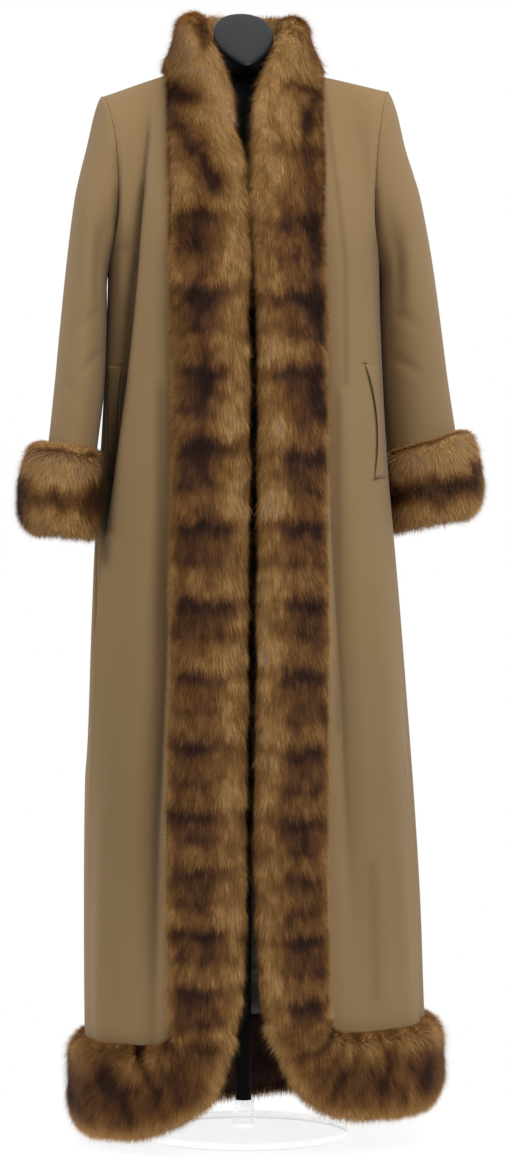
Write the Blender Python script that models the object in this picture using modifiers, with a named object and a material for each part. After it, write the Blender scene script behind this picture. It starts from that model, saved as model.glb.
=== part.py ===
"""Full-length cloth coat with fur collar, front edges, hem and cuffs, worn by a dress form on a stand.

Metres, +Z up. The form's axis is the Z axis and its base stands on z = 0. The coat faces -Y.
Right and left are the wearer's: right is -X and left is +X.
A place on the coat's body is a share and a height. The share is 0 at the centre front, 1 at the left
side seam and 2 at the centre back, and it is negative on the wearer's right.
"""
import math

import bmesh
import bpy
import numpy as np

RIGHT = -1
LEFT = 1
SIDES = {RIGHT: "right", LEFT: "left"}

# Walls and seams
CLOTH = 0.002
LINING = 0.001
WELT = 0.0025
SEAM = 0.0003
SIDE_SEAM = 0.0005
SHOULDER_SEAM = 0.0018
ARMHOLE_SEAM = 0.0032
FUR_SEAM = 0.0011
CUFF_SEAM = 0.0005
LINING_SEAM = 0.0006

# Level sections of the coat, from the hem to the armpit
SQUARENESS = 2.3
ARMPIT_Z = 1.170
BODY_COLUMNS = ("z", "half_width", "front", "back", "shift")
BODY = (
    (0.000, 0.2280, 0.200, 0.208, 0.0195),
    (0.180, 0.2255, 0.190, 0.200, 0.0140),
    (0.310, 0.2235, 0.182, 0.192, 0.0115),
    (0.445, 0.2190, 0.173, 0.182, 0.0080),
    (0.575, 0.2125, 0.164, 0.171, 0.0050),
    (0.710, 0.2045, 0.154, 0.158, 0.0025),
    (0.790, 0.1990, 0.148, 0.148, 0.0010),
    (0.900, 0.1905, 0.142, 0.133, 0.000),
    (1.000, 0.1850, 0.139, 0.121, 0.000),
    (1.100, 0.1810, 0.139, 0.114, 0.000),
    (1.170, 0.1800, 0.138, 0.113, 0.000),
)

# Largest folds: where each begins and ends, its half width as a share, and its depth at the middle
FOLD_COLUMNS = ("top_z", "bottom_z", "top_share", "bottom_share", "width", "depth")
FOLDS = (
    (1.360, 0.480, -0.56, -1.02, 0.105, -0.020),
    (1.340, 0.300, -0.47, -0.86, 0.090, 0.009),
    (1.120, 0.020, -0.43, -0.43, 0.045, -0.011),
    (1.400, 0.160, 0.38, 0.43, 0.050, -0.010),
    (0.900, -0.500, 0.62, 0.66, 0.090, 0.008),
    (0.800, -0.500, 0.84, 0.80, 0.060, -0.006),
    (0.850, -0.600, -0.66, -0.70, 0.080, 0.007),
    (1.050, -0.600, 1.34, 1.42, 0.110, 0.015),
    (1.000, -0.600, 1.66, 1.70, 0.090, -0.014),
    (1.050, -0.600, -1.30, -1.36, 0.110, 0.014),
    (1.000, -0.600, -1.60, -1.66, 0.100, -0.015),
    (0.950, -0.600, 1.95, 1.97, 0.100, 0.012),
)

# Points of the yoke and the directions in which its cloth leaves the armpit level and meets the seams:
# out from the middle, towards the back, up
SHOULDERS = {RIGHT: (-0.189, 0.012, 1.380), LEFT: (0.195, 0.012, 1.391)}
NECK = (0.098, 0.004, 1.410)
NAPE_BACK = 0.084
NAPE_Z = 1.403
NECK_ACROSS = 0.50
ARMHOLE_FROM = 0.30
YOKE_COLUMNS = ("leave", "arrive", "armhole_leave", "armhole_arrive")
CHEST = ((0.0, 0.0, 0.24), (0.0, 0.12, 0.02), (-0.07, -0.28, 0.10), (0.05, 0.22, 0.05))
BACK = ((0.0, 0.0, 0.24), (0.0, -0.11, 0.02), (-0.05, 0.27, 0.12), (0.05, -0.21, 0.05))
YOKE_HEIGHT = 0.22

# Sleeves: ovals between an underside and a top, from the wrist up
SLEEVE_COLUMNS = ("to_end", "under_out", "under_z", "top_out", "top_z", "half_depth", "middle_y")
SLEEVES = {
    RIGHT: (
        (0.000, 0.2030, 0.803, 0.2730, 0.811, 0.062, -0.045),
        (0.040, 0.2015, 0.843, 0.2690, 0.851, 0.063, -0.041),
        (0.100, 0.1965, 0.903, 0.2605, 0.912, 0.066, -0.033),
        (0.180, 0.1875, 0.980, 0.2515, 0.994, 0.071, -0.021),
        (0.260, 0.1845, 1.042, 0.2435, 1.077, 0.075, -0.010),
        (0.345, 0.1824, 1.092, 0.2345, 1.163, 0.077, -0.001),
        (0.420, 0.1819, 1.124, 0.2245, 1.241, 0.076, 0.005),
        (0.480, 0.1820, 1.144, 0.2130, 1.304, 0.073, 0.007),
        (0.525, 0.1825, 1.157, 0.2040, 1.352, 0.069, 0.008),
        (0.552, 0.1830, 1.164, 0.1970, 1.373, 0.065, 0.008),
    ),
    LEFT: (
        (0.000, 0.2060, 0.812, 0.3010, 0.833, 0.064, 0.034),
        (0.040, 0.2030, 0.850, 0.2970, 0.872, 0.065, 0.033),
        (0.100, 0.1960, 0.906, 0.2880, 0.931, 0.067, 0.029),
        (0.180, 0.1875, 0.980, 0.2755, 1.006, 0.071, 0.022),
        (0.260, 0.1845, 1.040, 0.2645, 1.084, 0.075, 0.016),
        (0.345, 0.1830, 1.090, 0.2520, 1.168, 0.077, 0.012),
        (0.420, 0.1825, 1.123, 0.2375, 1.244, 0.076, 0.010),
        (0.480, 0.1822, 1.144, 0.2225, 1.308, 0.073, 0.009),
        (0.525, 0.1825, 1.157, 0.2125, 1.359, 0.069, 0.008),
        (0.552, 0.1830, 1.164, 0.2035, 1.383, 0.065, 0.008),
    ),
}
SLEEVE_STATIONS = (0.535, 0.505, 0.465, 0.42, 0.37, 0.315, 0.26, 0.205, 0.155, 0.096, 0.06, 0.025, 0.0)
SLEEVE_MEETS_OVAL = 0.42

# Fur: a section from the sewn edge to the free edge and back inside, as shares of width and depth
FUR_COLUMNS = ("across", "out")
FUR = (
    (0.000, 0.10),
    (0.035, 0.48),
    (0.140, 0.84),
    (0.340, 1.00),
    (0.580, 1.00),
    (0.800, 0.88),
    (0.940, 0.60),
    (1.000, 0.15),
    (0.950, -0.22),
    (0.700, -0.30),
    (0.300, -0.28),
    (0.000, -0.10),
)
FRONT_FUR = 0.021
HEM_FUR = 0.028
COLLAR_FUR = 0.022
FUR_SEWN = {RIGHT: 0.107, LEFT: 0.099}
FUR_EDGE = 0.0045
FUR_EDGE_TOP = 0.0022
FUR_EDGE_TOP_FROM_Z = 1.06

# Hem: the band's height, how far the hem tilts from right to left, and the rounded front corner
HEM_Z = 0.031
HEM_SEWN_Z = 0.147
HEM_TILT = 0.012
HEM_FREE_TILT = 0.018
HEM_TILT_FROM = 0.5
HEM_BACK_DROP = 0.014
CORNERS = {
    RIGHT: (
        (0.0045, 0.4200),
        (0.0050, 0.3200),
        (0.0078, 0.2274),
        (0.0154, 0.1762),
        (0.0300, 0.1340),
        (0.0460, 0.0830),
        (0.0570, 0.0680),
        (0.0723, 0.0555),
        (0.0954, 0.0416),
        (0.1427, 0.0234),
    ),
    LEFT: (
        (0.0045, 0.4200),
        (0.0052, 0.3200),
        (0.0091, 0.2274),
        (0.0155, 0.1762),
        (0.0300, 0.1340),
        (0.0505, 0.0850),
        (0.0685, 0.0672),
        (0.0838, 0.0590),
        (0.1100, 0.0480),
    ),
}
CORNER_ENDS = {RIGHT: 0.171, LEFT: 0.138}
CORNER_SEWN_RADIUS = 0.022

# Free edge of the collar from the breast to the nape, and the sewn edge that each point stands over
DRIFT_COLUMNS = ("z", "aside")
DRIFT = (
    (0.00, -0.0165),
    (0.20, -0.0175),
    (0.30, -0.0166),
    (0.40, -0.0148),
    (0.50, -0.0102),
    (0.60, -0.0055),
    (0.70, -0.0030),
    (0.80, 0.0000),
    (0.90, 0.0018),
    (1.00, 0.0025),
    (1.10, 0.0010),
    (1.17, 0.0000),
)
DRIFT_FROM = 0.45
COLLAR_COLUMNS = ("sewn", "out", "y", "z")
COLLAR = (
    (0.12, 0.0022, -0.137, 1.220),
    (0.26, 0.0030, -0.133, 1.275),
    (0.34, 0.0062, -0.128, 1.303),
    (0.40, 0.0082, -0.124, 1.325),
    (0.54, 0.0112, -0.110, 1.372),
    (0.62, 0.0185, -0.0985, 1.397),
    (0.70, 0.0285, -0.086, 1.420),
    (0.84, 0.0470, -0.055, 1.461),
    (1.00, 0.0605, -0.014, 1.491),
    (1.20, 0.0630, 0.022, 1.496),
    (1.45, 0.0520, 0.054, 1.503),
    (1.72, 0.0280, 0.072, 1.503),
    (2.00, 0.0000, 0.078, 1.501),
)
COLLAR_ASIDE = (
    (0.00, 0.0000),
    (0.10, -0.0025),
    (0.20, -0.0045),
    (0.29, -0.0045),
    (0.38, -0.0088),
    (0.55, -0.0083),
    (0.67, -0.0052),
    (0.84, -0.0020),
    (1.00, 0.0000),
    (2.00, 0.0000),
)
COLLAR_INWARD = {
    RIGHT: ((0.00, 0.0), (0.70, 0.0), (0.84, 0.0030), (0.92, 0.0070), (1.00, 0.0095), (1.20, 0.0080), (1.50, 0.0), (2.00, 0.0)),
    LEFT: ((0.00, 0.0), (0.62, 0.0), (0.84, 0.0080), (0.92, 0.0115), (1.00, 0.0125), (1.20, 0.0090), (1.50, 0.0), (2.00, 0.0)),
}
# How the upper collar's roll swells, from the sewn edge to the free edge
COLLAR_ROLL = ((0.00, 0.0), (0.30, -0.0040), (0.55, 0.0010), (0.80, 0.0080), (1.00, 0.0030))
COLLAR_ROLL_FROM, COLLAR_ROLL_OVER = 0.62, 0.25
COLLAR_LOWER = {RIGHT: 0.005, LEFT: 0.009}
COLLAR_LOWER_AT, COLLAR_LOWER_HALF = 1.10, 0.55
COLLAR_STANDS_OFF = 0.0015
COLLAR_INSIDE = 1.6
COLLAR_BULGE = 0.006
COLLAR_BULGE_UP_TO = 0.5

# Cuffs: a section along the sleeve from the cuff's top round the sleeve's end, depths as shares
OUTSIDE = "outside"
INSIDE = "inside"
CUFF_COLUMNS = ("to_end", "out", "face")
CUFF = (
    (0.096, 0.00, OUTSIDE),
    (0.102, 0.42, OUTSIDE),
    (0.094, 0.80, OUTSIDE),
    (0.072, 0.97, OUTSIDE),
    (0.044, 1.00, OUTSIDE),
    (0.018, 0.92, OUTSIDE),
    (-0.004, 0.64, OUTSIDE),
    (-0.013, 0.18, OUTSIDE),
    (-0.010, -0.28, INSIDE),
    (0.004, -0.46, INSIDE),
    (0.026, -0.34, INSIDE),
    (0.028, 0.00, INSIDE),
    (-0.001, 0.00, INSIDE),
    (-0.001, 0.00, OUTSIDE),
    (0.025, 0.00, OUTSIDE),
    (0.060, 0.00, OUTSIDE),
)
CUFF_UNDER = 0.0065
CUFF_TOPS = {RIGHT: 0.036, LEFT: 0.032}

# Pocket welts, as parts of the front from the fur to the side seam
POCKET_TOP_Z = 1.020
POCKET_BOTTOM_Z = 0.872
# Each pocket's start across the front, slant, bow and width
POCKETS = {RIGHT: (0.66, 0.06, 0.03, 0.12), LEFT: (0.395, 0.07, 0.11, 0.215)}
WELT_GAPS = {RIGHT: 0.0020, LEFT: 0.0007}

# Dress form and stand
FORM_COLUMNS = ("z", "half_width", "front", "back", "slope")
FORM = (
    (0.800, 0.128, 0.086, 0.092, 0.00),
    (0.850, 0.150, 0.106, 0.106, 0.00),
    (0.910, 0.157, 0.112, 0.110, 0.00),
    (0.980, 0.143, 0.106, 0.097, 0.00),
    (1.040, 0.126, 0.095, 0.085, 0.00),
    (1.110, 0.135, 0.106, 0.088, 0.00),
    (1.180, 0.150, 0.112, 0.092, 0.00),
    (1.250, 0.154, 0.094, 0.090, 0.00),
    (1.310, 0.154, 0.064, 0.076, 0.00),
    (1.354, 0.150, 0.042, 0.054, 0.00),
    (1.378, 0.140, 0.028, 0.040, 0.00),
    (1.3935, 0.117, 0.026, 0.036, 0.00),
    (1.4053, 0.087, 0.030, 0.040, 0.12),
    (1.4132, 0.060, 0.040, 0.045, 0.28),
    (1.430, 0.046, 0.047, 0.044, 0.50),
)
NECK_TOP_Z = 1.458
NECK_SLOPE = 0.82
NECK_SECTION = (0.0385, 0.054, 0.043)
NECK_FRONT_TAPER = 0.44
NECK_BACK_TAPER = -0.16
CAP_EDGE = 0.0012
CAP_HEIGHT = 0.006
CAP_GAP = 0.0004
CAP_COLUMNS = ("size", "height")
CAP = ((1.0, 0.0), (1.0, 0.35), (0.97, 0.62), (0.85, 0.82), (0.5, 0.97))
FORM_TURNS = 36
POLE_RADIUS = 0.0105
BASE_COLUMNS = ("radius", "z")
BASE = (
    (0.138, 0.000),
    (0.140, 0.002),
    (0.140, 0.008),
    (0.138, 0.010),
    (0.0165, 0.011),
    (0.0145, 0.013),
    (0.0145, 0.046),
)
ROUND_SEGMENTS = 48

# Mesh steps
STRIP_ROWS = 14
CORNER_ROWS = 8
HEM_COLUMNS = 8
BACK_COLUMNS = 20
BACK_ROWS = 15
YOKE_ROWS = 8
WELT_ROWS = 6
WELT_COLUMNS = 4
SECTION_STEPS = 41
SHARE_STEP = 0.004
MERGE = 0.00003


def column(table, columns, name):
    """One named column of a table."""
    return np.array([row[columns.index(name)] for row in table], float)


def hermite(start, end, leave, arrive, along):
    """A smooth path from start to end that leaves and arrives in the given directions."""
    squared = along**2
    cubed = along**3
    begin = start * (2 * cubed - 3 * squared + 1) + leave * (cubed - 2 * squared + along)
    return begin + end * (3 * squared - 2 * cubed) + arrive * (cubed - squared)


def eased(stations, values, at):
    """Values on a smooth curve through a table's rows."""
    slopes = np.gradient(values, stations)
    i = np.clip(np.searchsorted(stations, at, side="right") - 1, 0, len(stations) - 2)
    span = stations[i + 1] - stations[i]
    return hermite(
        values[i], values[i + 1], slopes[i] * span, slopes[i + 1] * span, (at - stations[i]) / span
    )


def smooth(value):
    """A soft step from 0 to 1."""
    value = np.clip(value, 0.0, 1.0)
    return value * value * (3 - 2 * value)


def bell(distance, half):
    """A soft bump of height 1."""
    return np.exp(-((distance / half) ** 2))


def unit(vectors):
    return vectors / np.linalg.norm(vectors, axis=-1, keepdims=True)


def body_value(name, z):
    return eased(column(BODY, BODY_COLUMNS, "z"), column(BODY, BODY_COLUMNS, name), z)


def quarters(half_width, depth):
    """Quarter ovals from their middle to the side: x, depth and the length run so far, a row for each."""
    turn = np.linspace(0.0, math.pi / 2, SECTION_STEPS)
    x = half_width[:, None] * np.sin(turn) ** (2 / SQUARENESS)
    y = depth[:, None] * np.abs(np.cos(turn)) ** (2 / SQUARENESS)
    run = np.cumsum(np.hypot(np.diff(x), np.diff(y)), axis=1)
    return x, y, np.pad(run, ((0, 0), (1, 0)))


def look_up(keys, values, at):
    """Each row's value at its own key."""
    rows = np.arange(len(at))
    i = np.clip((keys < at[:, None]).sum(axis=1) - 1, 0, keys.shape[1] - 2)
    part = (at - keys[rows, i]) / (keys[rows, i + 1] - keys[rows, i])
    return values[rows, i] + part * (values[rows, i + 1] - values[rows, i])


def front_quarter(z):
    """Length round the coat from the centre front to a side seam."""
    z = np.asarray(z, float)
    run = quarters(body_value("half_width", z.ravel()), body_value("front", z.ravel()))[2]
    return run[:, -1].reshape(z.shape)


def drift(z):
    """How far the front opening lies to the left of the body's middle."""
    return np.interp(z, column(DRIFT, DRIFT_COLUMNS, "z"), column(DRIFT, DRIFT_COLUMNS, "aside"))


def body(share, z):
    """Points of the coat's body, without its folds."""
    share, z = np.broadcast_arrays(np.asarray(share, float), np.asarray(z, float))
    place = np.abs(share).ravel()
    level = z.ravel()
    in_front = place <= 1
    depth = np.where(in_front, body_value("front", level), body_value("back", level))
    x, y, run = quarters(body_value("half_width", level), depth)
    hold = 1 - smooth((place - DRIFT_FROM) / (1 - DRIFT_FROM))
    ahead = share.ravel() * run[:, -1] + hold * drift(level)
    goal = np.where(in_front, np.abs(ahead), (2 - place) * run[:, -1])
    out = np.where(np.where(in_front, ahead, share.ravel()) < 0, RIGHT, LEFT) * look_up(run, x, goal)
    back = np.where(in_front, -1, 1) * look_up(run, y, goal)
    points = np.stack([body_value("shift", level) + out, back, level], axis=-1)
    return points.reshape(share.shape + (3,))


def out_of(share, z):
    """Level direction out of the coat's body at a place."""
    ahead = body(share + SHARE_STEP, z) - body(share - SHARE_STEP, z)
    level = np.zeros(ahead.shape[:-1])
    return unit(np.stack([ahead[..., 1], -ahead[..., 0], level], axis=-1))


def folds(share, z):
    """How far the folded cloth stands out at a place."""
    share = np.asarray(share, float)
    total = np.zeros(np.broadcast(share, z).shape)
    for top_z, bottom_z, top_share, bottom_share, width, depth in FOLDS:
        down = np.clip((top_z - z) / (top_z - bottom_z), 0.0, 1.0)
        middle = top_share + (bottom_share - top_share) * down
        away = np.abs(share - middle)
        away = np.minimum(away, 4 - away)
        total = total + depth * np.sin(math.pi * down) * np.exp(-((away / width) ** 2))
    return total


def cloth(share, z, out=0.0):
    """Points on the folded body, moved out by a distance."""
    return body(share, z) + out_of(share, z) * (folds(share, z) + out)[..., None]


def yoke(side, share, top, weight, directions, up):
    """Cloth from the armpit level up to its top edge, drawn in round the armhole where the weight is 1."""
    leave, arrive, armhole_leave, armhole_arrive = (
        np.array(direction) * (side, 1, 1) for direction in directions
    )
    weight = weight[..., None]
    rise = hermite(
        body(share, ARMPIT_Z),
        top,
        leave + weight * (armhole_leave - leave),
        arrive + weight * (armhole_arrive - arrive),
        up[..., None],
    )
    lift = folds(share, ARMPIT_Z + YOKE_HEIGHT * up)
    return rise + out_of(share, ARMPIT_Z) * lift[..., None]


def armhole_weight(across):
    return smooth((across - ARMHOLE_FROM) / (1 - ARMHOLE_FROM))


def chest(side, across, up):
    """Front yoke: across runs from the fur to the armhole and up from the armpit to the shoulder seam."""
    across, up = np.broadcast_arrays(np.asarray(across, float), np.asarray(up, float))
    inner = FUR_SEWN[side] / front_quarter(ARMPIT_Z)
    share = side * (inner + across * (1 - inner))
    neck = np.array(NECK) * (side, 1, 1)
    top = neck + across[..., None] * (np.array(SHOULDERS[side]) - neck)
    return yoke(side, share, top, armhole_weight(across), CHEST, up)


def neck_edge(turn):
    """Neckline of the back, from the nape at 0 to a shoulder seam at 1 or -1."""
    angle = turn * math.pi / 2
    x = NECK[0] * np.sin(angle)
    y = NECK[1] + (NAPE_BACK - NECK[1]) * np.cos(angle)
    z = NAPE_Z + (NECK[2] - NAPE_Z) * np.sin(angle) ** 2
    return np.stack([x, y, z], axis=-1)


def half_blades(side, away, up):
    """Half of the back yoke, from the centre back at 0 to the armhole at 1."""
    neck = np.array(NECK) * (side, 1, 1)
    part = np.clip((away - NECK_ACROSS) / (1 - NECK_ACROSS), 0.0, 1.0)[..., None]
    shoulder_line = neck + part * (np.array(SHOULDERS[side]) - neck)
    neckline = neck_edge(side * np.minimum(away / NECK_ACROSS, 1.0))
    top = np.where(away[..., None] > NECK_ACROSS, shoulder_line, neckline)
    return yoke(side, side * (2 - away), top, armhole_weight(away), BACK, up)


def blades(across, up):
    """Back yoke: across runs from the right armhole at -1 to the left one at 1."""
    across, up = np.broadcast_arrays(np.asarray(across, float), np.asarray(up, float))
    away = np.abs(across)
    right = half_blades(RIGHT, away, up)
    left = half_blades(LEFT, away, up)
    return np.where((across < 0)[..., None], right, left)


def hem_lift(share, tilt=HEM_TILT):
    """How far the hem is from level: lower on the right than on the left, and lower at the back."""
    across = np.sign(share) * np.maximum(np.abs(share), HEM_TILT_FROM)
    return tilt * np.sin(across * math.pi / 2) - HEM_BACK_DROP * smooth(np.abs(share) - 1)


def seam_share(z):
    """The side seam's gap as a share."""
    return SIDE_SEAM / front_quarter(z)


def evenly(path, count):
    """A path's points at even distances."""
    run = np.concatenate([[0.0], np.cumsum(np.linalg.norm(np.diff(path, axis=0), axis=1))])
    at = np.linspace(0.0, run[-1], count)
    return np.stack([np.interp(at, run, path[:, axis]) for axis in range(path.shape[1])], axis=-1)


def as_shares(path):
    """A path of distances from the centre front and heights, with the distances as shares."""
    return np.stack([path[:, 0] / front_quarter(path[:, 1]), path[:, 1]], axis=-1)


def sewn_corner(side, gap=0.0):
    """Sewn line round the front corner, as distances from the centre front and heights."""
    low = HEM_SEWN_Z + hem_lift(side * HEM_TILT_FROM)
    turn = np.linspace(0.0, math.pi / 2, CORNER_ROWS + 1)
    along = FUR_SEWN[side] + CORNER_SEWN_RADIUS - (CORNER_SEWN_RADIUS + gap) * np.cos(turn)
    z = low + CORNER_SEWN_RADIUS - (CORNER_SEWN_RADIUS + gap) * np.sin(turn)
    return np.stack([along, z], axis=-1)


def sewn_hem(side, start, gap=0.0):
    """Sewn line along the hem from a share to the side seam, as shares and heights."""
    share = np.linspace(start, 1.0 - seam_share(HEM_SEWN_Z), HEM_COLUMNS + 1)[1:]
    return np.stack([share, HEM_SEWN_Z - gap + hem_lift(side * share)], axis=-1)


def free_corner(side):
    """Free edge of the fur below the corner's top: distances from the centre front and heights."""
    low = HEM_Z + hem_lift(side * HEM_TILT_FROM, HEM_FREE_TILT)
    table = np.array(CORNERS[side] + ((CORNER_ENDS[side], low),))
    rows = np.arange(len(table))
    step = np.linspace(0.0, rows[-1], SECTION_STEPS)
    return np.stack([eased(rows, table[:, 0], step), eased(rows, table[:, 1], step)], axis=-1)


def free_along(side, z):
    """Distance of the fur's free edge from the centre front; the fronts part below the corner's top."""
    corner = free_corner(side)[::-1]
    closer = (FUR_EDGE_TOP - FUR_EDGE) * smooth((z - FUR_EDGE_TOP_FROM_Z) / (ARMPIT_Z - FUR_EDGE_TOP_FROM_Z))
    return np.interp(z, corner[:, 1], corner[:, 0]) + closer


def strip_levels(side):
    """Heights of the rows along a front's fur, from the corner to the armpit."""
    return np.linspace(sewn_corner(side)[0, 1], ARMPIT_Z, STRIP_ROWS + 1)


def front_edges(side):
    """Bottom and inner edges of a front, from the middle of its rounded corner, as shares and heights."""
    corner = as_shares(sewn_corner(side))
    middle = CORNER_ROWS // 2
    bottom = np.vstack([corner[middle:], sewn_hem(side, corner[-1, 0])])
    z = strip_levels(side)[1:]
    inner = np.vstack([corner[middle::-1], as_shares(np.stack([np.full_like(z, FUR_SEWN[side]), z], axis=-1))])
    return bottom, inner


def parts_of(values):
    """Values as parts of the way from the first to the last."""
    return (values - values[0]) / (values[-1] - values[0])


def front_panel(side):
    """A front: from the sewn line of its fur to the side seam, and from the hem fur to the shoulder."""
    bottom, inner = front_edges(side)
    across = parts_of(bottom[:, 0])
    up = parts_of(inner[:, 1])[:, None]
    end = bottom[-1]
    top_share = inner[-1, 0] + (end[0] - inner[-1, 0]) * across
    side_z = end[1] + (ARMPIT_Z - end[1]) * up
    share = (1 - up) * bottom[:, 0] + up * top_share
    share = share + (1 - across) * (inner[:, :1] - (1 - up) * bottom[0, 0] - up * top_share[0])
    straight = bottom[0, 1] + across * (end[1] - bottom[0, 1])
    z = (1 - across) * inner[:, 1:] + across * side_z + (1 - up) * (bottom[:, 1] - straight)
    rise = np.linspace(0.0, 1.0 - SHOULDER_SEAM / YOKE_HEIGHT, YOKE_ROWS + 1)[1:, None]
    upper = chest(side, across * (1 - seam_share(ARMPIT_Z)), rise)
    return np.concatenate([cloth(side * share, z), upper])


def back_shares():
    """Shares across the back from the right side seam to the left one, and the same from -1 to 1."""
    across = np.linspace(-1.0, 1.0, BACK_COLUMNS + 1) * (1 - seam_share(ARMPIT_Z))
    return np.where(across < 0, RIGHT, LEFT) * (2 - np.abs(across)), across


def back_levels(share):
    """Heights of the back's rows, from the hem fur's sewn line to the armpit."""
    low = HEM_SEWN_Z + hem_lift(share)
    return low + (ARMPIT_Z - low) * np.linspace(0.0, 1.0, BACK_ROWS + 1)[:, None]


def back_panel():
    share, across = back_shares()
    rise = np.linspace(0.0, 1.0 - SHOULDER_SEAM / YOKE_HEIGHT, YOKE_ROWS + 1)[1:, None]
    return np.concatenate([cloth(share, back_levels(share)), blades(across, rise)])


def back_lining():
    share = back_shares()[0]
    return cloth(share, back_levels(share), -(CLOTH + LINING_SEAM))


def armhole(side):
    """The armhole's edge, from the underarm up the front and down the back, moved out by its seam."""
    rise = np.linspace(0.0, 1.0, YOKE_ROWS + 1)
    front = chest(side, 1.0, rise)
    behind = blades(side * 1.0, rise[::-1])
    return np.concatenate([front, behind[1:-1]]) + np.array([side * ARMHOLE_SEAM, 0.0, 0.0])


def sleeve_value(side, name, to_end):
    table = SLEEVES[side]
    stations = column(table, SLEEVE_COLUMNS, "to_end")
    return eased(stations, column(table, SLEEVE_COLUMNS, name), to_end)


def sleeve_ring(side, to_end, turn, out=0.0):
    """An oval of a sleeve, from its underside round the front, moved out by a distance."""
    under = np.array([sleeve_value(side, "under_out", to_end), sleeve_value(side, "under_z", to_end)])
    top = np.array([sleeve_value(side, "top_out", to_end), sleeve_value(side, "top_z", to_end)])
    middle = (top + under) / 2
    half_width = np.linalg.norm(top - under) / 2
    half_depth = sleeve_value(side, "half_depth", to_end)
    rise = (top - middle) / half_width
    slope = np.hypot(half_depth * np.cos(turn), half_width * np.sin(turn))
    across = -np.cos(turn) * (half_width + out * half_depth / slope)
    ahead = np.sin(turn) * (half_depth + out * half_width / slope)
    x = side * (middle[0] + rise[0] * across)
    y = sleeve_value(side, "middle_y", to_end) - ahead
    return np.stack([x, y, middle[1] + rise[1] * across], axis=-1)


def sleeve(side):
    edge = armhole(side)
    turn = np.linspace(0.0, 2 * math.pi, len(edge), endpoint=False)
    length = SLEEVES[side][-1][0]
    shift = edge - sleeve_ring(side, length, turn)
    rings = [edge]
    for to_end in SLEEVE_STATIONS:
        hold = smooth((to_end - SLEEVE_MEETS_OVAL) / (length - SLEEVE_MEETS_OVAL))
        rings.append(sleeve_ring(side, to_end, turn) + hold * shift)
    return np.array(rings)


def cuff(side):
    """A cuff's sections round the sleeve's end: it lies on the sleeve and turns inside."""
    turn = np.linspace(0.0, 2 * math.pi, 2 * YOKE_ROWS, endpoint=False)
    depth = CUFF_UNDER + (CUFF_TOPS[side] - CUFF_UNDER) * (1 - np.cos(turn)) / 2
    down = unit(sleeve_ring(side, 0.0, turn) - sleeve_ring(side, CLOTH, turn))
    rings = []
    for to_end, out, face in CUFF:
        surface = CUFF_SEAM if face == OUTSIDE else -(CLOTH + CUFF_SEAM)
        away = surface + out * (depth if face == OUTSIDE else CUFF_UNDER)
        at = max(to_end, 0.0)
        rings.append(sleeve_ring(side, at, turn, away) + down * (at - to_end))
    return np.array(rings).transpose(1, 0, 2)


def fur_section(base, out, depth, inside=1.0):
    """Fur sections over base points, an array of stations by section points."""
    height = column(FUR, FUR_COLUMNS, "out")
    height = np.where(height < 0, height * inside, height)
    return base + out * (np.reshape(depth, (-1, 1)) * height)[..., None]


def fur_band(side, sewn, edge, depth):
    """Fur on the coat's body between a sewn line and a free edge, both as shares and heights."""
    part = column(FUR, FUR_COLUMNS, "across")[None, :, None]
    place = sewn[:, None, :] + part * (edge - sewn)[:, None, :]
    share = side * place[..., 0]
    return fur_section(cloth(share, place[..., 1]), out_of(share, place[..., 1]), depth)


def strip_sections(side, z):
    """Sections of an upright strip at the given heights."""
    sewn = as_shares(np.stack([np.full_like(z, FUR_SEWN[side] - FUR_SEAM), z], axis=-1))
    edge = as_shares(np.stack([free_along(side, z), z], axis=-1))
    return fur_band(side, sewn, edge, FRONT_FUR)


def fur_front(side):
    """An upright strip from the front corner to the breast."""
    z = strip_levels(side)
    z[0] += SEAM
    z[-1] -= SEAM
    return strip_sections(side, z)


def fur_hem_front(side):
    """The band from the front strip round the corner and along the hem to the side seam."""
    sewn = as_shares(sewn_corner(side, FUR_SEAM))
    free = free_corner(side)
    below = free[:, 1] < sewn[0, 1]
    start = np.array([free_along(side, sewn[0, 1]), sewn[0, 1]])
    edge = as_shares(evenly(np.vstack([start, free[below]]), CORNER_ROWS + 1))
    share = np.linspace(edge[-1, 0], 1.0 - seam_share(HEM_Z), HEM_COLUMNS + 1)[1:]
    tail = np.stack([share, HEM_Z + hem_lift(side * share, HEM_FREE_TILT)], axis=-1)
    depth = FRONT_FUR + (HEM_FUR - FRONT_FUR) * smooth(np.linspace(0.0, 1.0, CORNER_ROWS + 1))
    depth = np.append(depth, np.full(HEM_COLUMNS, HEM_FUR))
    sewn = np.vstack([sewn, sewn_hem(side, sewn[-1, 0], FUR_SEAM)])
    return fur_band(side, sewn, np.vstack([edge, tail]), depth)


def fur_hem_back():
    share = back_shares()[0]
    sewn = HEM_SEWN_Z - FUR_SEAM + hem_lift(share)
    low = HEM_Z + hem_lift(share, HEM_FREE_TILT)
    z = sewn[:, None] + column(FUR, FUR_COLUMNS, "across") * (low - sewn)[:, None]
    share = share[:, None] + 0 * z
    return fur_section(cloth(share, z), out_of(share, z), HEM_FUR)


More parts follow.
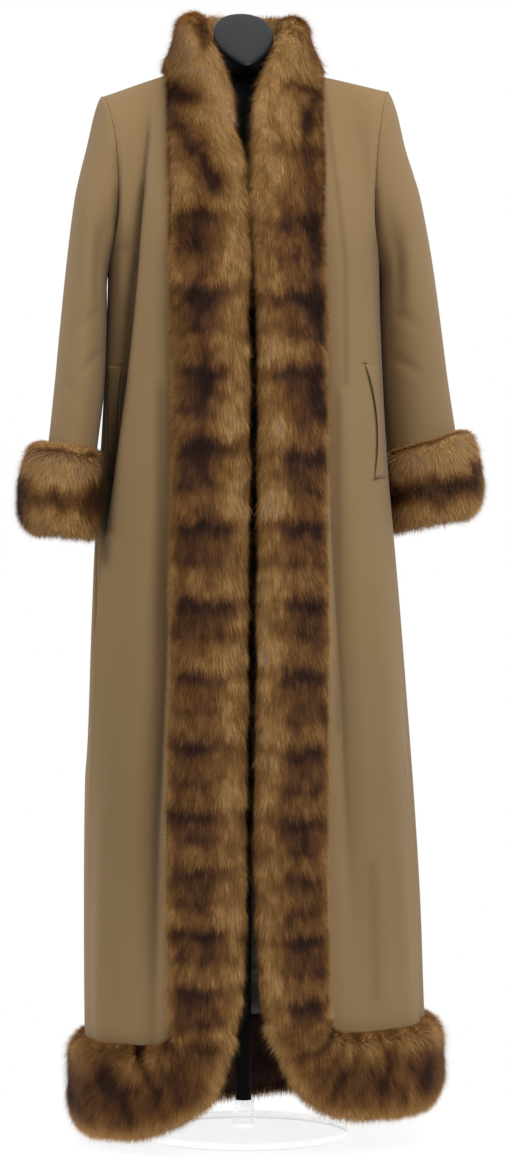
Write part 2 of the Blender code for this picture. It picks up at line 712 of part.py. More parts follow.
def collar_half(side):
    """Sewn and free edges of one half of the collar, from the breast to the nape, and their stations."""
    breast = cloth(side * FUR_EDGE_TOP / front_quarter(ARMPIT_Z), ARMPIT_Z)
    stations = np.append(0.0, column(COLLAR, COLLAR_COLUMNS, "sewn"))
    rise = np.linspace(0.0, 1.0, YOKE_ROWS + 1)
    turn = np.linspace(1.0, 0.0, round(BACK_COLUMNS / 2 * NECK_ACROSS) + 1)[1:]
    part = np.append(rise, 2 - turn)
    edge = []
    for axis, (name, mirror) in enumerate((("out", side), ("y", 1), ("z", 1))):
        values = np.append(breast[axis], mirror * column(COLLAR, COLLAR_COLUMNS, name))
        edge.append(eased(stations, values, part))
    edge[0] = edge[0] + eased(*np.array(COLLAR_ASIDE).T, part) - side * eased(*np.array(COLLAR_INWARD[side]).T, part)
    edge[2] = edge[2] - COLLAR_LOWER[side] * bell(part - COLLAR_LOWER_AT, COLLAR_LOWER_HALF)
    sewn = np.vstack([chest(side, 0.0, rise), neck_edge(side * turn)])
    return sewn, np.stack(edge, axis=-1), part


def fur_collar():
    """The collar from the right breast round the nape to the left breast."""
    sewn_right, edge_right, part = collar_half(RIGHT)
    sewn_left, edge_left, part = collar_half(LEFT)
    sewn = np.vstack([sewn_right, sewn_left[-2::-1]])
    edge = np.vstack([edge_right, edge_left[-2::-1]])
    part = np.append(part, part[-2::-1])
    sewn = sewn + unit(edge - sewn) * COLLAR_STANDS_OFF
    run = np.gradient((sewn + edge) / 2, axis=0)
    out = unit(np.cross(edge - sewn, run))[:, None, :]
    across = column(FUR, FUR_COLUMNS, "across")
    bulge = COLLAR_BULGE * (1 - smooth(part / COLLAR_BULGE_UP_TO))[:, None] * 4 * across * (1 - across)
    roll = smooth((part - COLLAR_ROLL_FROM) / COLLAR_ROLL_OVER)[:, None] * np.interp(across, *np.array(COLLAR_ROLL).T)
    base = sewn[:, None, :] + across[None, :, None] * (edge - sewn)[:, None, :] + out * (bulge + roll)[..., None]
    sections = fur_section(base, out, COLLAR_FUR, COLLAR_INSIDE)
    sections[0] = strip_sections(RIGHT, np.array([ARMPIT_Z]))[0]
    sections[-1] = strip_sections(LEFT, np.array([ARMPIT_Z]))[0]
    return sections


def on_grid(grid, row, place):
    """Points on the faces of a grid, at rows and places that need not be whole."""
    near = np.minimum(row.astype(int), grid.shape[0] - 2)
    left = np.minimum(place.astype(int), grid.shape[1] - 2)
    up = (row - near)[..., None]
    along = (place - left)[..., None]
    low = grid[near, left] * (1 - along) + grid[near, left + 1] * along
    high = grid[near + 1, left] * (1 - along) + grid[near + 1, left + 1] * along
    return low * (1 - up) + high * up


def welt(side):
    """A pocket welt's outer face, on the front's faces, bowed along the pocket's mouth."""
    panel = front_panel(side)
    bottom, inner = front_edges(side)
    part = np.linspace(0.0, 1.0, WELT_ROWS + 1)[:, None]
    start, slant, bow, width = POCKETS[side]
    mouth = start + slant * (1 - part) + bow * np.sin(math.pi * part)
    end = start + slant + width
    across = mouth + (end - mouth) * np.linspace(0.0, 1.0, WELT_COLUMNS + 1)
    z = POCKET_BOTTOM_Z + (POCKET_TOP_Z - POCKET_BOTTOM_Z) * part + 0 * across
    row = np.interp(z, inner[:, 1], np.arange(len(inner)))
    place = np.interp(across, parts_of(bottom[:, 0]), np.arange(len(bottom)))
    inner_share = FUR_SEWN[side] / front_quarter(z)
    out = out_of(side * (inner_share + across * (1 - inner_share)), z)
    return on_grid(panel, row, place) + out * (WELT_GAPS[side] + WELT)


def oval(half_width, front, back, turn):
    """A level oval whose front and back are of their own depth."""
    y = -np.cos(turn)
    return half_width * np.sin(turn), np.where(y < 0, front, back) * y


def neck_ring(turn, grow=0.0, rise=0.0):
    """The neck's sloped top edge, narrower in front, grown outwards and raised."""
    half_width, front, back = NECK_SECTION
    x, y = oval(half_width + grow, front + grow, back + grow, turn)
    taper = np.where(y < 0, NECK_FRONT_TAPER, NECK_BACK_TAPER) * np.cos(turn) ** 2
    return np.stack([x * (1 - taper), y, NECK_TOP_Z + NECK_SLOPE * y + rise], axis=-1)


def form_torso():
    turn = np.linspace(0.0, 2 * math.pi, FORM_TURNS, endpoint=False)
    rings = []
    for z, half_width, front, back, slope in FORM:
        x, y = oval(half_width, front, back, turn)
        rings.append(np.stack([x, y, z + slope * y], axis=-1))
    rings.append(neck_ring(turn))
    return np.array(rings)


def form_cap():
    turn = np.linspace(0.0, 2 * math.pi, FORM_TURNS, endpoint=False)
    rings = []
    for size, height in CAP:
        ring = neck_ring(turn, CAP_EDGE, CAP_GAP + height * CAP_HEIGHT)
        middle = ring.mean(axis=0)
        rings.append(middle + (ring - middle) * size)
    return np.array(rings)


def material(name, colour, roughness, metallic=0.0):
    made = bpy.data.materials.new(name)
    made.use_nodes = True
    shader = made.node_tree.nodes["Principled BSDF"]
    shader.inputs["Base Color"].default_value = (*colour, 1.0)
    shader.inputs["Roughness"].default_value = roughness
    shader.inputs["Metallic"].default_value = metallic
    made.diffuse_color = (*colour, 1.0)
    return made


def surface(name, grid, around):
    """Faces between the rows of a grid of points; around joins each row's ends."""
    rows, columns = grid.shape[:2]
    last = columns if around else columns - 1
    faces = []
    for row in range(rows - 1):
        near = row * columns
        far = near + columns
        for place in range(last):
            after = (place + 1) % columns
            faces.append((near + place, near + after, far + after, far + place))
    mesh = bpy.data.meshes.new(name)
    mesh.from_pydata(grid.reshape(-1, 3).tolist(), [], faces)
    return mesh


def add(collection, name, mesh, look):
    mesh.materials.append(look)
    made = bpy.data.objects.new(name, mesh)
    collection.objects.link(made)
    return made


def sheet(collection, name, grid, wall, look, around=False, turned=False):
    """Cloth: an open surface with its wall on the inner side."""
    mesh = surface(name, grid, around)
    if turned:
        mesh.flip_normals()
    made = add(collection, name, mesh, look)
    thick = made.modifiers.new("wall", "SOLIDIFY")
    thick.thickness = wall
    thick.offset = -1.0
    thick.use_even_offset = True
    thick.use_quality_normals = True
    return made


def loft(collection, name, sections, look, joined=False):
    """A closed body through closed sections; its ends are filled, or joined to each other."""
    rings = np.concatenate([sections, sections[:1]]) if joined else sections
    mesh = surface(name, rings, True)
    work = bmesh.new()
    work.from_mesh(mesh)
    if joined:
        bmesh.ops.remove_doubles(work, verts=work.verts, dist=MERGE)
    else:
        bmesh.ops.holes_fill(work, edges=work.edges, sides=0)
    bmesh.ops.recalc_face_normals(work, faces=work.faces)
    work.to_mesh(mesh)
    work.free()
    return add(collection, name, mesh, look)


def turned_base(collection, look):
    """A round base with a hub, turned from its profile."""
    profile = [(0.0, 0.0, 0.0)]
    profile += [(radius, 0.0, z) for radius, z in BASE]
    profile.append((0.0, 0.0, profile[-1][2]))
    edges = [(i, i + 1) for i in range(len(profile) - 1)]
    mesh = bpy.data.meshes.new("form_base")
    mesh.from_pydata(profile, edges, [])
    made = add(collection, "form_base", mesh, look)
    turn = made.modifiers.new("turn", "SCREW")
    turn.steps = ROUND_SEGMENTS
    turn.render_steps = ROUND_SEGMENTS
    turn.use_merge_vertices = True
    turn.merge_threshold = MERGE
    turn.use_normal_calculate = True
    return made


def pole(look):
    bottom = BASE[-1][1] + SEAM
    height = FORM[0][0] - SEAM - bottom
    bpy.ops.mesh.primitive_cylinder_add(
        vertices=ROUND_SEGMENTS, radius=POLE_RADIUS, depth=height, location=(0, 0, bottom + height / 2)
    )
    made = bpy.context.object
    made.name = "form_pole"
    made.data.materials.append(look)
    return made


def build():
    for old in list(bpy.data.objects):
        bpy.data.objects.remove(old)
    coat = bpy.data.collections.new("fur_trimmed_coat")
    bpy.context.scene.collection.children.link(coat)
    layer = bpy.context.view_layer.layer_collection.children[coat.name]
    bpy.context.view_layer.active_layer_collection = layer

    wool = material("wool_cloth", (0.30, 0.20, 0.10), 0.85)
    fur = material("fur", (0.16, 0.08, 0.035), 0.7)
    satin = material("lining_satin", (0.012, 0.009, 0.008), 0.45)
    black = material("form_black", (0.011, 0.012, 0.014), 0.7)
    grey = material("cap_grey", (0.045, 0.047, 0.053), 0.4)
    steel = material("stand_black", (0.02, 0.02, 0.02), 0.5)
    glass = material("base_glass", (0.86, 0.88, 0.87), 0.05)

    sheet(coat, "back", back_panel(), CLOTH, wool, turned=True)
    sheet(coat, "lining_back", back_lining(), LINING, satin, turned=True)
    loft(coat, "fur_collar", fur_collar(), fur)
    loft(coat, "fur_hem_back", fur_hem_back(), fur)
    for side, name in SIDES.items():
        sheet(coat, "front_" + name, front_panel(side), CLOTH, wool, turned=side == RIGHT)
        sheet(coat, "sleeve_" + name, sleeve(side), CLOTH, wool, around=True, turned=side == LEFT)
        sheet(coat, "pocket_welt_" + name, welt(side), WELT, wool, turned=side == RIGHT)
        loft(coat, "fur_front_" + name, fur_front(side), fur)
        loft(coat, "fur_hem_" + name, fur_hem_front(side), fur)
        loft(coat, "fur_cuff_" + name, cuff(side), fur, joined=True)

    loft(coat, "form_torso", form_torso(), black)
    loft(coat, "form_cap", form_cap(), grey)
    pole(steel)
    turned_base(coat, glass)


build()
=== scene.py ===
"""Looks of a full-length wool coat with fur collar, front edges, hem and cuffs, on a dress form.

Metres, +Z up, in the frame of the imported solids. The form's axis is the Z axis and the coat faces -Y.
Right and left are the wearer's: right is -X and left is +X.
A place on the coat's body is a share and a height. The share is 0 at the centre front, 1 at the left
side seam and 2 at the centre back, and it is negative on the wearer's right.
"""

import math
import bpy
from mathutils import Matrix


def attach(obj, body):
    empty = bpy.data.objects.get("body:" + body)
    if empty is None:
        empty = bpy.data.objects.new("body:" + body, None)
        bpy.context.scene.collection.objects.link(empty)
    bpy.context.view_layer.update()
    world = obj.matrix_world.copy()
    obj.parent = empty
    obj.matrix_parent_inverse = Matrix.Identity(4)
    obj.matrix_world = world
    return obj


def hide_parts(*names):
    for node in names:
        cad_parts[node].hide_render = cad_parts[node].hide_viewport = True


bl_info = {
    "name": "Fur-trimmed coat",
    "version": (1, 0, 0),
    "blender": (4, 5, 0),
    "location": "3D View > Sidebar > Coat",
    "description": "Builds the cloth, fur, dress form and stage of a fur-trimmed coat",
    "category": "Object",
}

from functools import cache, partial

import bmesh
import bpy
import numpy as np
from bpy.props import FloatProperty, FloatVectorProperty, IntProperty, PointerProperty

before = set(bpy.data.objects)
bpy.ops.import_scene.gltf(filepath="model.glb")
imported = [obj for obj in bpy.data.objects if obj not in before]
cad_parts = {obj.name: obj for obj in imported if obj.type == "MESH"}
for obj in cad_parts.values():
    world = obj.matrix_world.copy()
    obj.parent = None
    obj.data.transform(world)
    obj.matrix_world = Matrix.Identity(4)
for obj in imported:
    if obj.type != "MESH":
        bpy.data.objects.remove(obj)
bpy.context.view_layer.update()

BODY_NAME = "root"
RIGHT = -1
LEFT = 1
SIDES = {RIGHT: "right", LEFT: "left"}

# Walls and seams
CLOTH = 0.002
LINING = 0.001
WELT_WALL = 0.0012
MOUTH_WALL = 0.0004
SIDE_SEAM = 0.0003
SHOULDER_SEAM = 0.0005
ARMHOLE_SEAM = -0.0006
FUR_SEAM = 0.0011
CUFF_SEAM = 0.0005
LINING_SEAM = 0.0006
SEAM_DIP = 0.0013
# Crumples of the lining: depth, how x and then y follow the share and the height, seed and power
LINING_SLACK = ((0.004, 9, 14, -5, 26, 31, 1), (0.006, 5, -9, 4, 15, 32, 2))

# Level sections of the coat, from the hem to the armpit
SQUARENESS = 2.3
ARMPIT_Z = 1.170
BODY_COLUMNS = ("z", "half_width", "front", "back", "shift")
BODY = (
    (0.0, 0.228, 0.2, 0.208, 0.0195), (0.18, 0.2255, 0.19, 0.2, 0.014),
    (0.31, 0.2235, 0.182, 0.192, 0.0115), (0.445, 0.219, 0.173, 0.182, 0.008),
    (0.575, 0.2125, 0.164, 0.171, 0.005), (0.71, 0.2045, 0.154, 0.158, 0.0025),
    (0.79, 0.199, 0.148, 0.148, 0.001), (0.9, 0.1905, 0.142, 0.133, 0.0),
    (1.0, 0.185, 0.139, 0.121, 0.0), (1.1, 0.181, 0.139, 0.114, 0.0), (1.17, 0.18, 0.138, 0.113, 0.0),
)

# Folds of the body, which the solids have too, and finer creases: heights of the top and the bottom,
# the shares there, the half width as a share, and the depth
FOLDS = (
    (1.36, 0.48, -0.56, -1.02, 0.105, -0.02), (1.34, 0.3, -0.47, -0.86, 0.09, 0.009),
    (1.12, 0.02, -0.43, -0.43, 0.045, -0.011), (1.4, 0.16, 0.38, 0.43, 0.05, -0.01),
    (0.9, -0.5, 0.62, 0.66, 0.09, 0.008), (0.8, -0.5, 0.84, 0.8, 0.06, -0.006),
    (0.85, -0.6, -0.66, -0.7, 0.08, 0.007), (1.05, -0.6, 1.34, 1.42, 0.11, 0.015),
    (1.0, -0.6, 1.66, 1.7, 0.09, -0.014), (1.05, -0.6, -1.3, -1.36, 0.11, 0.014),
    (1.0, -0.6, -1.6, -1.66, 0.1, -0.015), (0.95, -0.6, 1.95, 1.97, 0.1, 0.012),
)
CREASES = (
    (1.34, 0.54, -0.615, -0.85, 0.046, -0.018), (1.34, 0.56, -0.545, -0.765, 0.04, 0.009),
    (1.1, 0.02, -0.394, -0.392, 0.036, -0.0115), (1.4, 0.3, 0.385, 0.425, 0.012, -0.003),
    (0.82, 0.42, -0.7, -0.8, 0.022, 0.0022), (0.56, 0.1, 0.78, 0.74, 0.035, 0.003),
    (0.47, 0.06, 0.58, 0.62, 0.03, -0.002), (0.64, 0.12, -0.58, -0.62, 0.03, -0.0018),
    (1.3, 0.98, 0.62, 0.76, 0.04, 0.002), (1.28, 1.0, -0.74, -0.8, 0.03, 0.0018),
    (1.26, 0.9, 1.48, 1.4, 0.05, -0.003), (1.26, 0.88, -1.46, -1.42, 0.05, -0.003),
    (0.76, 0.2, 1.2, 1.16, 0.035, -0.003), (0.74, 0.18, -1.18, -1.14, 0.035, -0.003),
    (0.68, 0.12, 1.82, 1.86, 0.04, -0.0035), (0.66, 0.15, -1.86, -1.8, 0.045, -0.0035),
)

# Points of the yoke and the directions in which its cloth leaves the armpit level and meets the seams:
# out from the middle, towards the back, up
SHOULDERS = {RIGHT: (-0.189, 0.012, 1.380), LEFT: (0.195, 0.012, 1.391)}
NECK = (0.098, 0.004, 1.410)
NAPE_BACK = 0.084
NAPE_Z = 1.403
NECK_ACROSS = 0.50
ARMHOLE_FROM = 0.30
CHEST = ((0.0, 0.0, 0.24), (0.0, 0.12, 0.02), (-0.07, -0.28, 0.10), (0.05, 0.22, 0.05))
BACK = ((0.0, 0.0, 0.24), (0.0, -0.11, 0.02), (-0.05, 0.27, 0.12), (0.05, -0.21, 0.05))
YOKE_HEIGHT = 0.22

# Sleeves: ovals between an underside and a top, from the wrist up
SLEEVE_COLUMNS = ("to_end", "under_out", "under_z", "top_out", "top_z", "half_depth", "middle_y")
SLEEVES = {
    RIGHT: (
        (0.0, 0.203, 0.803, 0.273, 0.811, 0.062, -0.045),
        (0.04, 0.2015, 0.843, 0.269, 0.851, 0.063, -0.041),
        (0.1, 0.1965, 0.903, 0.2605, 0.912, 0.066, -0.033),
        (0.18, 0.1875, 0.98, 0.2515, 0.994, 0.071, -0.021),
        (0.26, 0.1845, 1.042, 0.2435, 1.077, 0.075, -0.01),
        (0.345, 0.1824, 1.092, 0.2345, 1.163, 0.077, -0.001),
        (0.42, 0.1819, 1.124, 0.2245, 1.241, 0.076, 0.005),
        (0.48, 0.182, 1.144, 0.213, 1.304, 0.073, 0.007),
        (0.525, 0.1825, 1.157, 0.204, 1.352, 0.069, 0.008),
        (0.552, 0.183, 1.164, 0.197, 1.373, 0.065, 0.008),
    ),
    LEFT: (
        (0.0, 0.206, 0.812, 0.301, 0.833, 0.064, 0.034),
        (0.04, 0.203, 0.85, 0.297, 0.872, 0.065, 0.033),
        (0.1, 0.196, 0.906, 0.288, 0.931, 0.067, 0.029),
        (0.18, 0.1875, 0.98, 0.2755, 1.006, 0.071, 0.022),
        (0.26, 0.1845, 1.04, 0.2645, 1.084, 0.075, 0.016),
        (0.345, 0.183, 1.09, 0.252, 1.168, 0.077, 0.012),
        (0.42, 0.1825, 1.123, 0.2375, 1.244, 0.076, 0.01),
        (0.48, 0.1822, 1.144, 0.2225, 1.308, 0.073, 0.009),
        (0.525, 0.1825, 1.157, 0.2125, 1.359, 0.069, 0.008),
        (0.552, 0.183, 1.164, 0.2035, 1.383, 0.065, 0.008),
    ),
}
# How far a sleeve's underside swells against the body, where along the sleeve, and how far round it
SLEEVE_AGAINST = 0.0018
SLEEVE_AGAINST_AT, SLEEVE_AGAINST_HALF, SLEEVE_AGAINST_ROUND = 0.30, 0.15, 0.35
SLEEVE_MEETS_OVAL = 0.42
SLEEVE_ROUND = 0.44
# Sleeve creases: to_end and turn where each begins and ends, half width in metres, depth in metres.
# The turn is 0 underneath, a quarter in front, a half at the top and three quarters behind.
SLEEVE_CREASES = (
    (0.5, 0.2, 0.3, 0.16, 0.016, -0.005), (0.47, 0.29, 0.26, 0.22, 0.02, 0.003),
    (0.33, 0.12, 0.25, 0.3, 0.014, -0.0022), (0.25, 0.1, 0.19, 0.27, 0.013, -0.0025),
    (0.2, 0.4, 0.15, 0.24, 0.016, -0.0016), (0.5, 0.78, 0.3, 0.84, 0.018, -0.0045),
    (0.3, 0.9, 0.22, 0.7, 0.016, -0.003), (0.22, 0.92, 0.17, 0.74, 0.014, -0.0026),
)
# Roll of the sleeve head below the armhole: its height, where it is full and where it ends, and how it
# fades from the top of the sleeve to the underside
SLEEVE_HEAD = 0.0035
SLEEVE_HEAD_FULL, SLEEVE_HEAD_END = 0.012, 0.08
SLEEVE_HEAD_TOP, SLEEVE_HEAD_FADES = 1.2, 1.6

# Fur: a section from the sewn edge to the free edge and back inside, as shares of width and depth
FUR = (
    (0.0, 0.1), (0.035, 0.48), (0.14, 0.84), (0.34, 1.0), (0.58, 1.0), (0.8, 0.88), (0.94, 0.6),
    (1.0, 0.15), (0.95, -0.22), (0.7, -0.3), (0.3, -0.28), (0.0, -0.1),
)
# Depths of the fur, its sewn and free edges, and the room that these leave for hair
FRONT_FUR = 0.021
HEM_FUR = 0.028
HEM_ROOM = 0.010
HEM_ROOM_OVER = 0.6
COLLAR_ROOM = 0.005
COLLAR_ROOM_FROM, COLLAR_ROOM_OVER = 0.1, 0.7
HEM_UNDER = 0.90
FURROW_DEPTH = 0.005
COLLAR_FUR = 0.022
FUR_SEWN = {RIGHT: 0.107, LEFT: 0.099}
FUR_EDGE = 0.0045
FUR_EDGE_TOP = 0.0022
FUR_EDGE_TOP_FROM_Z = 1.06
EDGE_ROOM = 0.0027
EDGE_ROOM_TOP = 0.0005
EDGE_ROOM_TOP_FROM_Z, EDGE_ROOM_TOP_OVER = 1.08, 0.10
SEWN_RIM_TO = 0.10

# Hem: the band's height, how far the hem tilts from right to left, and the rounded front corner
HEM_Z = 0.031
HEM_SEWN_Z = 0.147
HEM_TILT = 0.012
HEM_FREE_TILT = 0.018
HEM_TILT_FROM = 0.5
HEM_BACK_DROP = 0.014
CORNERS = {
    RIGHT: (
        (0.0045, 0.42), (0.005, 0.32), (0.0078, 0.2274), (0.0154, 0.1762), (0.03, 0.134),
        (0.046, 0.083), (0.057, 0.068), (0.0723, 0.0555), (0.0954, 0.0416), (0.1427, 0.0234),
    ),
    LEFT: (
        (0.0045, 0.42), (0.0052, 0.32), (0.0091, 0.2274), (0.0155, 0.1762), (0.03, 0.134),
        (0.0505, 0.085), (0.0685, 0.0672), (0.0838, 0.059), (0.11, 0.048),
    ),
}
CORNER_ENDS = {RIGHT: 0.171, LEFT: 0.138}
CORNER_SEWN_RADIUS = 0.022

# How far the front opening lies to the left of the body's middle
DRIFT = (
    (0.0, -0.0165), (0.2, -0.0175), (0.3, -0.0166), (0.4, -0.0148), (0.5, -0.0102), (0.6, -0.0055),
    (0.7, -0.003), (0.8, 0.0), (0.9, 0.0018), (1.0, 0.0025), (1.1, 0.001), (1.17, 0.0),
)
DRIFT_FROM = 0.45

# Free edge of the collar from the breast to the nape: the place along the sewn edge that each point stands
# over, out from the middle, y and z
COLLAR = (
    (0.12, 0.0022, -0.137, 1.22), (0.26, 0.003, -0.133, 1.275), (0.34, 0.0062, -0.128, 1.303),
    (0.4, 0.0082, -0.124, 1.325), (0.54, 0.0112, -0.11, 1.372), (0.62, 0.0185, -0.0985, 1.397),
    (0.7, 0.0285, -0.086, 1.42), (0.84, 0.047, -0.055, 1.461), (1.0, 0.0605, -0.014, 1.491),
    (1.2, 0.063, 0.022, 1.496), (1.45, 0.052, 0.054, 1.503), (1.72, 0.028, 0.072, 1.503),
    (2.0, 0.0, 0.078, 1.501),
)
# How far the free edge lies aside, and how far it leans in at the neck, by the same stations
COLLAR_ASIDE = (
    (0.0, 0.0), (0.1, -0.0025), (0.2, -0.0045), (0.29, -0.0045), (0.38, -0.0088), (0.55, -0.0083),
    (0.67, -0.0052), (0.84, -0.002), (1.0, 0.0), (2.0, 0.0),
)
COLLAR_INWARD = {
    RIGHT: (
        (0.0, 0.0), (0.7, 0.0), (0.84, 0.003), (0.92, 0.007), (1.0, 0.0095), (1.2, 0.008), (1.5, 0.0),
        (2.0, 0.0),
    ),
    LEFT: (
        (0.0, 0.0), (0.62, 0.0), (0.84, 0.008), (0.92, 0.0115), (1.0, 0.0125), (1.2, 0.009), (1.5, 0.0),
        (2.0, 0.0),
    ),
}
# How the upper collar's roll swells, from the sewn edge to the free edge
COLLAR_ROLL = ((0.00, 0.0), (0.30, -0.0040), (0.55, 0.0010), (0.80, 0.0080), (1.00, 0.0030))
COLLAR_ROLL_FROM, COLLAR_ROLL_OVER = 0.62, 0.25
COLLAR_LOWER = {RIGHT: 0.005, LEFT: 0.009}
COLLAR_LOWER_AT, COLLAR_LOWER_HALF = 1.10, 0.55
COLLAR_STANDS_OFF = 0.0015
COLLAR_INSIDE = 1.6
COLLAR_BULGE = 0.006
COLLAR_BULGE_UP_TO = 0.5
COLLAR_BLEND = 10

# Cuffs: a section along the sleeve from the cuff's top round the sleeve's end, depths as shares
OUTSIDE = 1
INSIDE = 0
CUFF = (
    (0.096, 0.00, OUTSIDE), (0.102, 0.42, OUTSIDE), (0.094, 0.80, OUTSIDE), (0.072, 0.97, OUTSIDE),
    (0.044, 1.00, OUTSIDE), (0.020, 0.92, OUTSIDE), (0.004, 0.66, OUTSIDE), (-0.005, 0.18, OUTSIDE),
    (-0.002, -0.28, INSIDE), (0.009, -0.46, INSIDE), (0.026, -0.34, INSIDE),
)
CUFF_UNDER = 0.0065
CUFF_TOPS = {RIGHT: 0.036, LEFT: 0.032}

# Pocket welts, as parts of the front from the fur to the side seam
POCKET_TOP_Z = 1.020
POCKET_BOTTOM_Z = 0.872
# Each pocket's start across the front, slant, bow and width
POCKETS = {RIGHT: (0.66, 0.06, 0.03, 0.12), LEFT: (0.395, 0.07, 0.11, 0.215)}
WELT_OUT = 0.0030
WELT_FLUSH = 0.0004
WELT_SLOPE = 1.1
WELT_END_OUT = 0.35
WELT_END_POWER = 8
POCKET_MOUTH = 0.0022
MOUTH_WIDER = 1.5
MOUTH_STEPS = (-1.0, 0.0, 0.6)
MOUTH_OUT = 0.0006
MOUTH_EDGE_OUT = 0.0004
TACK_LENGTH = 0.017
TACK_RADIUS = 0.0008
TACK_OUT = 0.8
TACK_POINTS = 9
TACK_SIDES = 8
TACK_TAPER = 0.25
TACK_FROM, TACK_TO = -0.4, 0.6
TACKS_AT = (-0.012, 1.012)
FRONT_WIDTH = 0.2

# Dress form: height, half width, depth of the front and of the back, and slope of each section
FORM = (
    (0.8, 0.128, 0.086, 0.092, 0.0), (0.85, 0.15, 0.106, 0.106, 0.0), (0.91, 0.157, 0.112, 0.11, 0.0),
    (0.98, 0.143, 0.106, 0.097, 0.0), (1.04, 0.126, 0.095, 0.085, 0.0),
    (1.11, 0.135, 0.106, 0.088, 0.0), (1.18, 0.15, 0.112, 0.092, 0.0), (1.25, 0.154, 0.094, 0.09, 0.0),
    (1.31, 0.154, 0.064, 0.076, 0.0), (1.354, 0.15, 0.042, 0.054, 0.0), (1.378, 0.14, 0.028, 0.04, 0.0),
    (1.3935, 0.117, 0.026, 0.036, 0.0), (1.4053, 0.087, 0.03, 0.04, 0.12),
    (1.4132, 0.06, 0.04, 0.045, 0.28), (1.43, 0.046, 0.047, 0.044, 0.5),
)
NECK_TOP_Z = 1.458
NECK_SLOPE = 0.82
NECK_SECTION = (0.0385, 0.054, 0.043)
NECK_FRONT_TAPER = 0.44
NECK_BACK_TAPER = -0.16
CAP_EDGE = 0.0012
CAP_HEIGHT = 0.006
CAP_GAP = 0.0004
# The cap's rings: size and height, as shares of the neck's edge and of the cap's height
CAP = (
    (1.0, 0.0), (1.0, 0.35), (0.985, 0.52), (0.96, 0.66), (0.9, 0.78), (0.78, 0.88), (0.5, 0.97),
    (0.2, 1.0),
)
FORM_TURNS = 96
FORM_STEPS = 3
SMOOTH_ANGLE = 40

# Mesh steps, and names of the data that meshes carry
STRIP_ROWS = 108
CORNER_ROWS = 16
HEM_COLUMNS = 72
BACK_COLUMNS = 84
BACK_ROWS = 100
YOKE_ROWS = 36
YOKE_RISE = np.linspace(0.0, 1.0 - SHOULDER_SEAM / YOKE_HEIGHT, YOKE_ROWS + 1)[1:, None]
SLEEVE_ROWS = 80
WELT_ROWS = 30
WELT_COLUMNS = 8
FUR_POINTS = 40
SECTION_STEPS = 121
FINE_STEPS = 12
SECTION_SCALE = (1.0, 0.25, 0.1)
CUFF_STEP = 0.002
PATCHES = 64
SHARE_STEP = 0.004
MERGE = 0.00002
ROOT_DEPTH = 0.001
FLOOR_CLEAR = 0.0015
FUR_MAP = "OFBake"
# Attribute that carries painted shade in folds, and the smoothing and depth that work it out
PAINTED_SHADE_ATTRIBUTE = "hollow"
HOLLOW_PASSES = 60
HOLLOW_DEPTH = 0.008

# Bars of the upright strips: height, where each begins and ends across the strip, and strength
BARS = {
    RIGHT: (
        (1.36, 0.2, 0.55, 0.0), (1.268, 0.17, 0.65, 0.7), (1.209, 0.11, 0.62, 0.8),
        (1.111, 0.24, 0.68, 0.8), (1.006, 0.16, 0.72, 0.85), (0.908, 0.06, 0.76, 0.9),
        (0.81, 0.11, 0.82, 1.0), (0.709, 0.11, 0.79, 0.95), (0.612, 0.05, 0.75, 1.0),
        (0.527, 0.09, 0.7, 0.65), (0.435, 0.12, 0.7, 0.85), (0.364, 0.15, 0.64, 0.75),
        (0.286, 0.05, 0.7, 0.9), (0.216, 0.08, 0.74, 0.95), (0.13, 0.1, 0.7, 0.0),
    ),
    LEFT: (
        (1.33, 0.2, 0.55, 0.0), (1.2, 0.12, 0.62, 0.8), (1.1, 0.11, 0.9, 0.85),
        (1.006, 0.09, 0.92, 0.9), (0.899, 0.09, 0.62, 0.9), (0.809, 0.05, 0.9, 1.0),
        (0.71, 0.05, 0.68, 0.9), (0.616, 0.04, 0.62, 0.95), (0.516, 0.04, 0.65, 0.9),
        (0.428, 0.05, 0.66, 0.85), (0.355, 0.05, 0.45, 0.75), (0.276, 0.06, 0.68, 0.85),
        (0.196, 0.06, 0.64, 0.95), (0.11, 0.1, 0.6, 0.0),
    ),
}
STRIP_WIDTH = 0.10
HEM_WIDTH = 0.12
CUFF_RADIUS = 0.07

# Tones of fur run from 0 for the palest to 1 for the darkest. Patches are strength, width, height and what is
# added to the seed.
GRAIN_WIDTH, GRAIN_LENGTH, GRAIN_TONE = 0.0022, 0.012, 0.10
FLEECE = (0.5, 0.3, 0.2)
STRIP_SEED, CUFF_SEED, SIDE_SEED, COLLAR_SEED = 200, 300, 40, 64
STRIP_PATCHES = ((0.44, 0.011, 0.016, 10), (0.30, 0.035, 0.045, 13))
COLLAR_PATCHES = ((0.36, 0.012, 0.018, 170), (0.24, 0.040, 0.045, 173))
HEM_PATCHES = ((0.42, 0.011, 0.024, 3), (0.30, 0.035, 0.050, 6))
CUFF_PATCHES = ((0.22, 0.012, 0.018, 5),)
BAR_RISE = 0.006
STREAK_AT = {RIGHT: 0.42, LEFT: 0.22}
STREAK_ABOVE_Z = 0.84
STRIPE_SPACING = 0.030
# Tone of fur turned to the inside: dark brown, darkened further as painted shade
INSIDE_PAINTED_SHADE_TONE = 0.95
# How strokes bend across and up: amount, width, height and seed of the patches
STROKE_BENDS = ((0.018, 0.012, 0.018, 161), (0.022, 0.010, 0.026, 164))
# Layers in which strokes are laid: strength, how much wider, how much of the bend, and how far down
COLLAR_LAYERS = ((0.72, 1.0, 1.0, 0.0), (0.28, 2.4, 1.0, 0.0))
HEM_LAYERS = ((0.44, 1.0, 1.0, 0.0), (0.18, 2.4, 1.0, 0.0))
CUFF_LAYERS = ((0.86, 1.55, 0.45, 0.0), (0.22, 2.6, 0.6, 0.005))
SHADE_ENDS_Y, SHADE_ENDS_OVER = -0.02, 0.04
